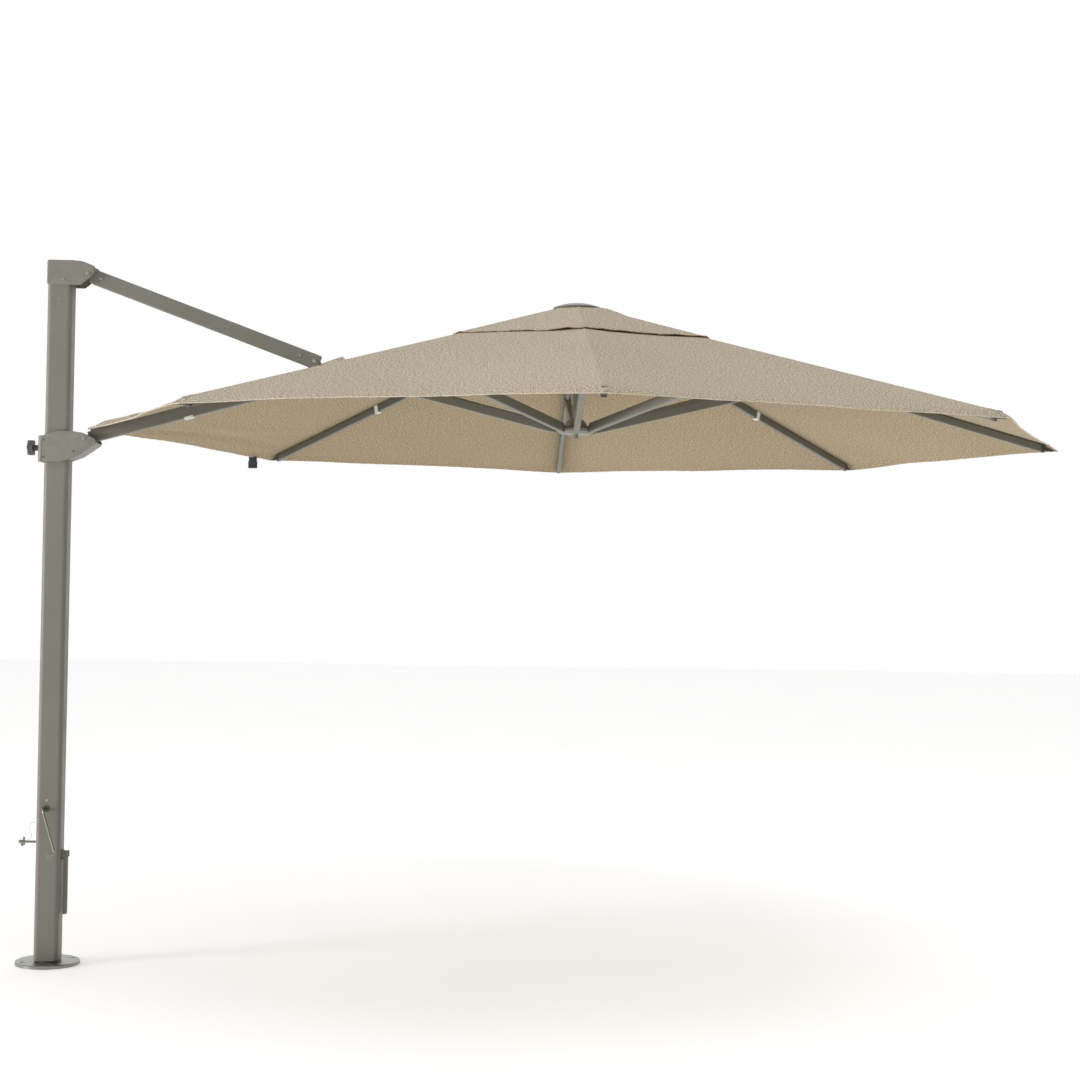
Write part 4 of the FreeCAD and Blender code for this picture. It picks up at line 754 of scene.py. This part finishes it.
def raise_slit_edge(point, way, radius, from_edge):
    """The cloth beside the slit stands up a little, most of it near the bracket."""
    near = math.exp(-((radius - SLIT_END - COLLAR_PLACE) / COLLAR_LENGTH) ** 2)
    lift = (FRONT_LIFT if way > 0 else BACK_LIFT) + COLLAR_LIFT * near
    lift = lift * math.exp(-(from_edge / LIFT_WIDTH) ** 2)
    ragged = noise.noise(Vector((radius * 26.0, 3.0 * way, 0.5))) * 0.004
    ragged += noise.noise(Vector((radius * 80.0, 7.0 * way, 2.5))) * 0.0015
    rolled = math.exp(-(from_edge / ROLL_WIDTH) ** 2)
    fade = min(1.0, (RADIUS - radius) / 0.05)
    fade *= min(1.0, (radius - SLIT_END) / 0.03)
    return point + Vector((0, way * ragged * rolled * 0.8, (lift + ragged * rolled) * fade))


def fold_with_rib(piece, ridge):
    """Rides on a rib, with a mesh of its own."""
    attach(piece, RIB_BODIES[ridge])
    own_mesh(piece)


def declare_part(piece, ridge):
    fold_with_rib(piece, ridge)
    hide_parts("canopy")


def make_main_cloth():
    for ridge in range(SIDES):
        piece = main_part(ridge).piece("canopy_part_%d" % (ridge + 1),
                                       [cloth_top, cloth_under_painted_shade, binding])
        flat_uv(piece, ridge)
        declare_part(piece, ridge)


make_main_cloth()


# ---------------------------------------------------------------------------
# Vent cap: a smaller cloth above the opening, in eight parts as well
# ---------------------------------------------------------------------------
CROWN_LEVEL = 2.6965
VENT_RADIUS = 0.675
VENT_EDGE_LEVEL = 2.5355
CROWN_RADIUS = 0.105
CROWN_INNER = 0.036
VENT_ROWS = 34
VENT_SIDE_COLUMNS = 16
CROWN_COLUMNS = VENT_SIDE_COLUMNS + 9
CROWN_ROWS = 5
VENT_HEM_BOW = 0.010
BULGE_RISE = 0.014
BULGE_PLACE = 0.165
BULGE_LENGTH = 0.055


def vent_point(ridge, across, radius):
    fall = max(0.0, (radius - CROWN_RADIUS) / (VENT_RADIUS - CROWN_RADIUS))
    bow = 4 * across * (1 - across)
    share = radius / VENT_RADIUS
    radius = radius - VENT_HEM_BOW * bow * share ** 2
    height = CROWN_LEVEL + (VENT_EDGE_LEVEL - CROWN_LEVEL) * fall
    first, second = [Vector((HUB_X + radius * math.cos(azimuth_of(r)),
                             radius * math.sin(azimuth_of(r)), height))
                     for r in (ridge, ridge + 1)]
    place = first.lerp(second, across)
    side = min(across, 1 - across) * (second - first).length
    soft = math.sqrt(side ** 2 + RIDGE_ROUND ** 2) - RIDGE_ROUND
    ripple = noise.noise(place * 11.0) * 0.008 + noise.noise(place * 27.0) * 0.003
    out = (place.x - HUB_X) / max(radius, CROWN_INNER)
    bulge = math.exp(-((radius - BULGE_PLACE) / BULGE_LENGTH) ** 2)
    place.z += BULGE_RISE * max(0.0, out) * bulge
    place.z += facet_slope() * (side - soft) * min(1.0, share * 2)
    place.z += ripple * share ** 4 * min(1.0, bow * 2) - 0.0035 * bow * share ** 2
    return place


def vent_turns(radius):
    if radius < 2 * CROWN_RADIUS:
        return mirrored([step / CROWN_COLUMNS for step in range(CROWN_COLUMNS + 1)])
    return both_turns(radius, VENT_SIDE_COLUMNS)


def make_vent_cap():
    radii = radii_between(CROWN_INNER, CROWN_RADIUS, CROWN_ROWS)[:-1]
    radii += radii_between(CROWN_RADIUS, VENT_RADIUS, VENT_ROWS)
    for ridge in range(SIDES):
        build = Build()
        rows = [[over_ridge(vent_point, ridge, turn, radius) for turn in vent_turns(radius)]
                for radius in radii]
        add_sheet(build, rows, FABRIC)
        hem_roll(build, rows[-1], 0.004, 0.0022, 1)
        piece = build.piece("vent_part_%d" % (ridge + 1), [cloth_top, cloth_under_painted_shade])
        flat_uv(piece, ridge)
        declare_part(piece, ridge)


make_vent_cap()


# ---------------------------------------------------------------------------
# Straps, the buckle and the corner pockets
# ---------------------------------------------------------------------------
RIB_SLOPE = math.atan((APEX_LEVEL - HEM_LEVEL) / RADIUS)
RIB_DEPTH = 0.032
RIB_HALF = 0.010
RIB_STRAP_GAP = 0.0046
ARM_HALF = 0.019
ARM_STRAP_GAP = 0.0525
TAPE = 0.0012


def rib_frame(ridge):
    """Out along a rib, across it, and square to it."""
    angle = azimuth_of(ridge)
    out = Vector((math.cos(angle), math.sin(angle), 0)) * math.cos(RIB_SLOPE)
    out.z = -math.sin(RIB_SLOPE)
    side = Vector((-math.sin(angle), math.cos(angle), 0))
    return out, side, out.cross(side).normalized()


def strap_round_rib(name, ridge, radius, half_width, depth, top_gap, width=0.022):
    """A loop of tape round a rib or the arm."""
    out, side, up = rib_frame(ridge)
    top = ridge_point(ridge, radius) - up * top_gap
    wide = half_width + 0.0006
    inner = [(-wide, -0.0004), (wide, -0.0004), (wide, -depth), (-wide, -depth)]
    outer = [(x + math.copysign(TAPE, x), y + (TAPE if y > -depth / 2 else -TAPE))
             for x, y in inner]
    build = Build()
    rows = []
    for loop, reach in ((outer, 0.0), (outer, width), (inner, width), (inner, 0.0)):
        rows.append([top + side * x + up * y + out * reach for x, y in loop])
    rows.append(rows[0])
    build.grid(rows, 0, closed=True)
    piece = build.piece(name, [white_tape], smooth=False)
    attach(piece, RIB_BODIES[ridge])


def make_straps():
    for name, ridge in (("strap_behind_left", 3), ("strap_behind_right", 1)):
        strap_round_rib(name, ridge, 1.22, RIB_HALF, RIB_DEPTH + 0.001, RIB_STRAP_GAP)
    strap_round_rib("strap_arm", ARM_SIDE, 1.58, ARM_HALF, 0.007, ARM_STRAP_GAP, 0.038)


def box_mesh(build, centre, along, side, up, size):
    corners = []
    for z in (-1, 1):
        for y in (-1, 1):
            for x in (-1, 1):
                corners.append(centre + along * (x * size[0] / 2) + side * (y * size[1] / 2)
                               + up * (z * size[2] / 2))
    faces = [(0, 2, 3, 1), (4, 5, 7, 6), (0, 1, 5, 4), (2, 6, 7, 3), (0, 4, 6, 2),
             (1, 3, 7, 5)]
    build.add(corners, faces)


def make_buckle():
    """A short black strap with a buckle that hangs from the hem beside a rib."""
    hem = cloth_point(3, 0.12, RADIUS)
    along = Vector((1, 0, 0))
    down = Vector((0, 0, -1))
    out = Vector((0, 1, 0))
    build = Build()
    box_mesh(build, hem + down * 0.012, along, out, down, (0.038, 0.002, 0.030))
    box_mesh(build, hem + down * 0.036, along, out, down, (0.042, 0.011, 0.034))
    piece = build.piece("tie_buckle", [black_tape], smooth=False)
    bevel = piece.modifiers.new("bevel", "BEVEL")
    bevel.width = 0.0012
    bevel.segments = 2
    fold_with_rib(piece, 3)


POCKET_LENGTH = 0.085
POCKET_HALF = 0.036
POCKET_POINT = 0.115
POCKET_LIFT = 0.0012
EYELET_INSET = 0.045
EYELET_RADIUS = 0.008


def make_pockets():
    """A doubled corner of cloth with an eyelet over the end of each rib."""
    for ridge in range(SIDES):
        if ridge == ARM_SIDE:
            continue
        build = Build()
        rows = []
        for radius in radii_between(RADIUS - POCKET_LENGTH, RADIUS - 0.001, 12):
            reach = POCKET_HALF * (radius - RADIUS + POCKET_POINT) / POCKET_POINT
            half = radius * math.sin(HALF_PANEL)
            row = []
            for step in range(-12, 13):
                turn = reach * step / 12 / half
                row.append(part_point(ridge, turn, radius) + Vector((0, 0, POCKET_LIFT)))
            rows.append(row)
        add_sheet(build, rows, 0.0010, 0, 0)
        out, side, up = rib_frame(ridge)
        centre = part_point(ridge, 0, RADIUS - EYELET_INSET) + up * 0.0016
        ring = [centre + (side * math.cos(a) + out * math.sin(a)) * EYELET_RADIUS
                for a in [2 * math.pi * k / 24 for k in range(25)]]
        build.tube(ring, lambda i: oval_ring(ring[i], ring_way(ring, i), up, 0.002, 0.0014, 8),
                   1)
        piece = build.piece("corner_pocket_%d" % (ridge + 1), [cloth_top,
                            white_tape if ridge == ARM_SIDE + 1 else wire_metal])
        flat_uv(piece, ridge)
        fold_with_rib(piece, ridge)


def ring_way(ring, index):
    count = len(ring) - 1
    return (ring[(index + 1) % count] - ring[(index - 1) % count]).normalized()


make_straps()
make_buckle()
make_pockets()


# ---------------------------------------------------------------------------
# Lanyard: the wire from its eyelet on the mast to the lock pin
# ---------------------------------------------------------------------------
LANYARD_ROUTE = [
    (-0.050, 0.0000, 0.5700),
    (-0.064, -0.0010, 0.5715),
    (-0.075, -0.0030, 0.5670),
    (-0.083, -0.0045, 0.5560),
    (-0.0845, -0.0040, 0.5430),
    (-0.079, -0.0020, 0.5310),
    (-0.075, 0.0010, 0.5190),
    (-0.078, 0.0030, 0.5080),
    (-0.086, 0.0030, 0.5010),
    (-0.092, 0.0010, 0.4970),
]
WIRE_RADIUS = 0.0008


def spline_points(route):
    """Points along the smooth curve that has the route as its control points."""
    curve = bpy.data.curves.new("route", "CURVE")
    curve.dimensions = "3D"
    spline = curve.splines.new("NURBS")
    spline.points.add(len(route) - 1)
    for point, place in zip(spline.points, route):
        point.co = (*place, 1.0)
    spline.order_u = 3
    spline.use_endpoint_u = True
    spline.resolution_u = 10
    holder = bpy.data.objects.new("route", curve)
    mesh = bpy.data.meshes.new_from_object(holder)
    points = [v.co.copy() for v in mesh.vertices]
    bpy.data.objects.remove(holder)
    return points


def make_lanyard():
    path = spline_points(LANYARD_ROUTE)
    build = Build()
    side = Vector((0, 1, 0))
    build.tube(path, lambda i: oval_ring(path[i], direction_at(path, i), side, WIRE_RADIUS,
                                         WIRE_RADIUS, 10))
    piece = build.piece("lanyard_wire", [wire_metal])
    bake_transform(piece)
    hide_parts("lanyard")


make_lanyard()


# ---------------------------------------------------------------------------
# Stage: floor and light
# ---------------------------------------------------------------------------
FLOOR_GLOW = 0.33
FLOOR_HALF = 30
FLOOR_LEVEL = -0.0005


def make_floor():
    n = Nodes("floor")
    tone = n.ramp(n.noise(1.3, 4.0, 0.6), [(0.3, (0.86, 0.86, 0.85)), (0.7, (0.90, 0.90, 0.89))])
    finish = n.finish(tone, 0.8, Emission_Strength=FLOOR_GLOW, Emission_Color=(1, 1, 1, 1))
    corners = [(x * FLOOR_HALF, y * FLOOR_HALF, FLOOR_LEVEL)
               for x, y in ((-1, -1), (1, -1), (1, 1), (-1, 1))]
    new_piece("floor", corners, [(0, 1, 2, 3)], [finish])


def area_light(name, place, target, size, power, colour=(1, 1, 1)):
    data = bpy.data.lights.new(name, "AREA")
    data.shape = "DISK"
    data.size = size
    data.energy = power
    data.color = colour
    light = bpy.data.objects.new(name, data)
    scene.collection.objects.link(light)
    light.location = place
    light.rotation_mode = "QUATERNION"
    light.rotation_quaternion = (Vector(target) - Vector(place)).to_track_quat("-Z", "Y")


SKY_LEFT = 1.2
SKY_RIGHT = 0.2
SKY_TOP = 0.85
SKY_FRONT = 0.38
KEY_POWER = 700.0
TOP_POWER = 260.0


def make_light():
    """White room, brighter to the left; a broad key light from the left and a top light."""
    world = bpy.data.worlds.new("studio")
    world.use_nodes = True
    tree = world.node_tree
    background = tree.nodes["Background"]
    parts = tree.nodes.new("ShaderNodeSeparateXYZ")
    tree.links.new(tree.nodes.new("ShaderNodeTexCoord").outputs["Generated"], parts.inputs[0])

    def spread(value, start, end, low, high):
        made = tree.nodes.new("ShaderNodeMapRange")
        made.interpolation_type = "SMOOTHSTEP"
        for key, number in (("From Min", start), ("From Max", end), ("To Min", low),
                            ("To Max", high)):
            made.inputs[key].default_value = number
        tree.links.new(value, made.inputs["Value"])
        return made.outputs["Result"]

    def blend(share, first, second):
        made = tree.nodes.new("ShaderNodeMix")
        for source, socket in ((share, made.inputs[0]), (first, made.inputs[2]),
                               (second, made.inputs[3])):
            if isinstance(source, bpy.types.NodeSocket):
                tree.links.new(source, socket)
            else:
                socket.default_value = source
        return made.outputs[0]

    sides = spread(parts.outputs["X"], -0.9, 0.9, SKY_LEFT, SKY_RIGHT)
    around = blend(spread(parts.outputs["Z"], 0.25, 0.8, 0.0, 1.0), sides, SKY_TOP)
    ahead = spread(parts.outputs["Y"], -0.6, 0.3, 0.0, 1.0)
    level = blend(ahead, SKY_FRONT, around)
    behind = spread(parts.outputs["Y"], 0.3, 0.75, 0.0, 1.0)
    seen = tree.nodes.new("ShaderNodeLightPath").outputs["Is Camera Ray"]
    tree.links.new(blend(seen, blend(behind, level, 1.0), 1.0), background.inputs["Strength"])
    background.inputs["Color"].default_value = (1.0, 1.0, 1.0, 1.0)
    scene.world = world
    scene.view_settings.view_transform = "Standard"
    area_light("key", (-9.0, -4.0, 1.8), (1.5, 0, 2.0), 3.0, KEY_POWER, (1.0, 0.99, 0.97))
    area_light("top", (4.5, -4.0, 9.0), (1.8, 0, 2.2), 5.0, TOP_POWER)


make_floor()
make_light()
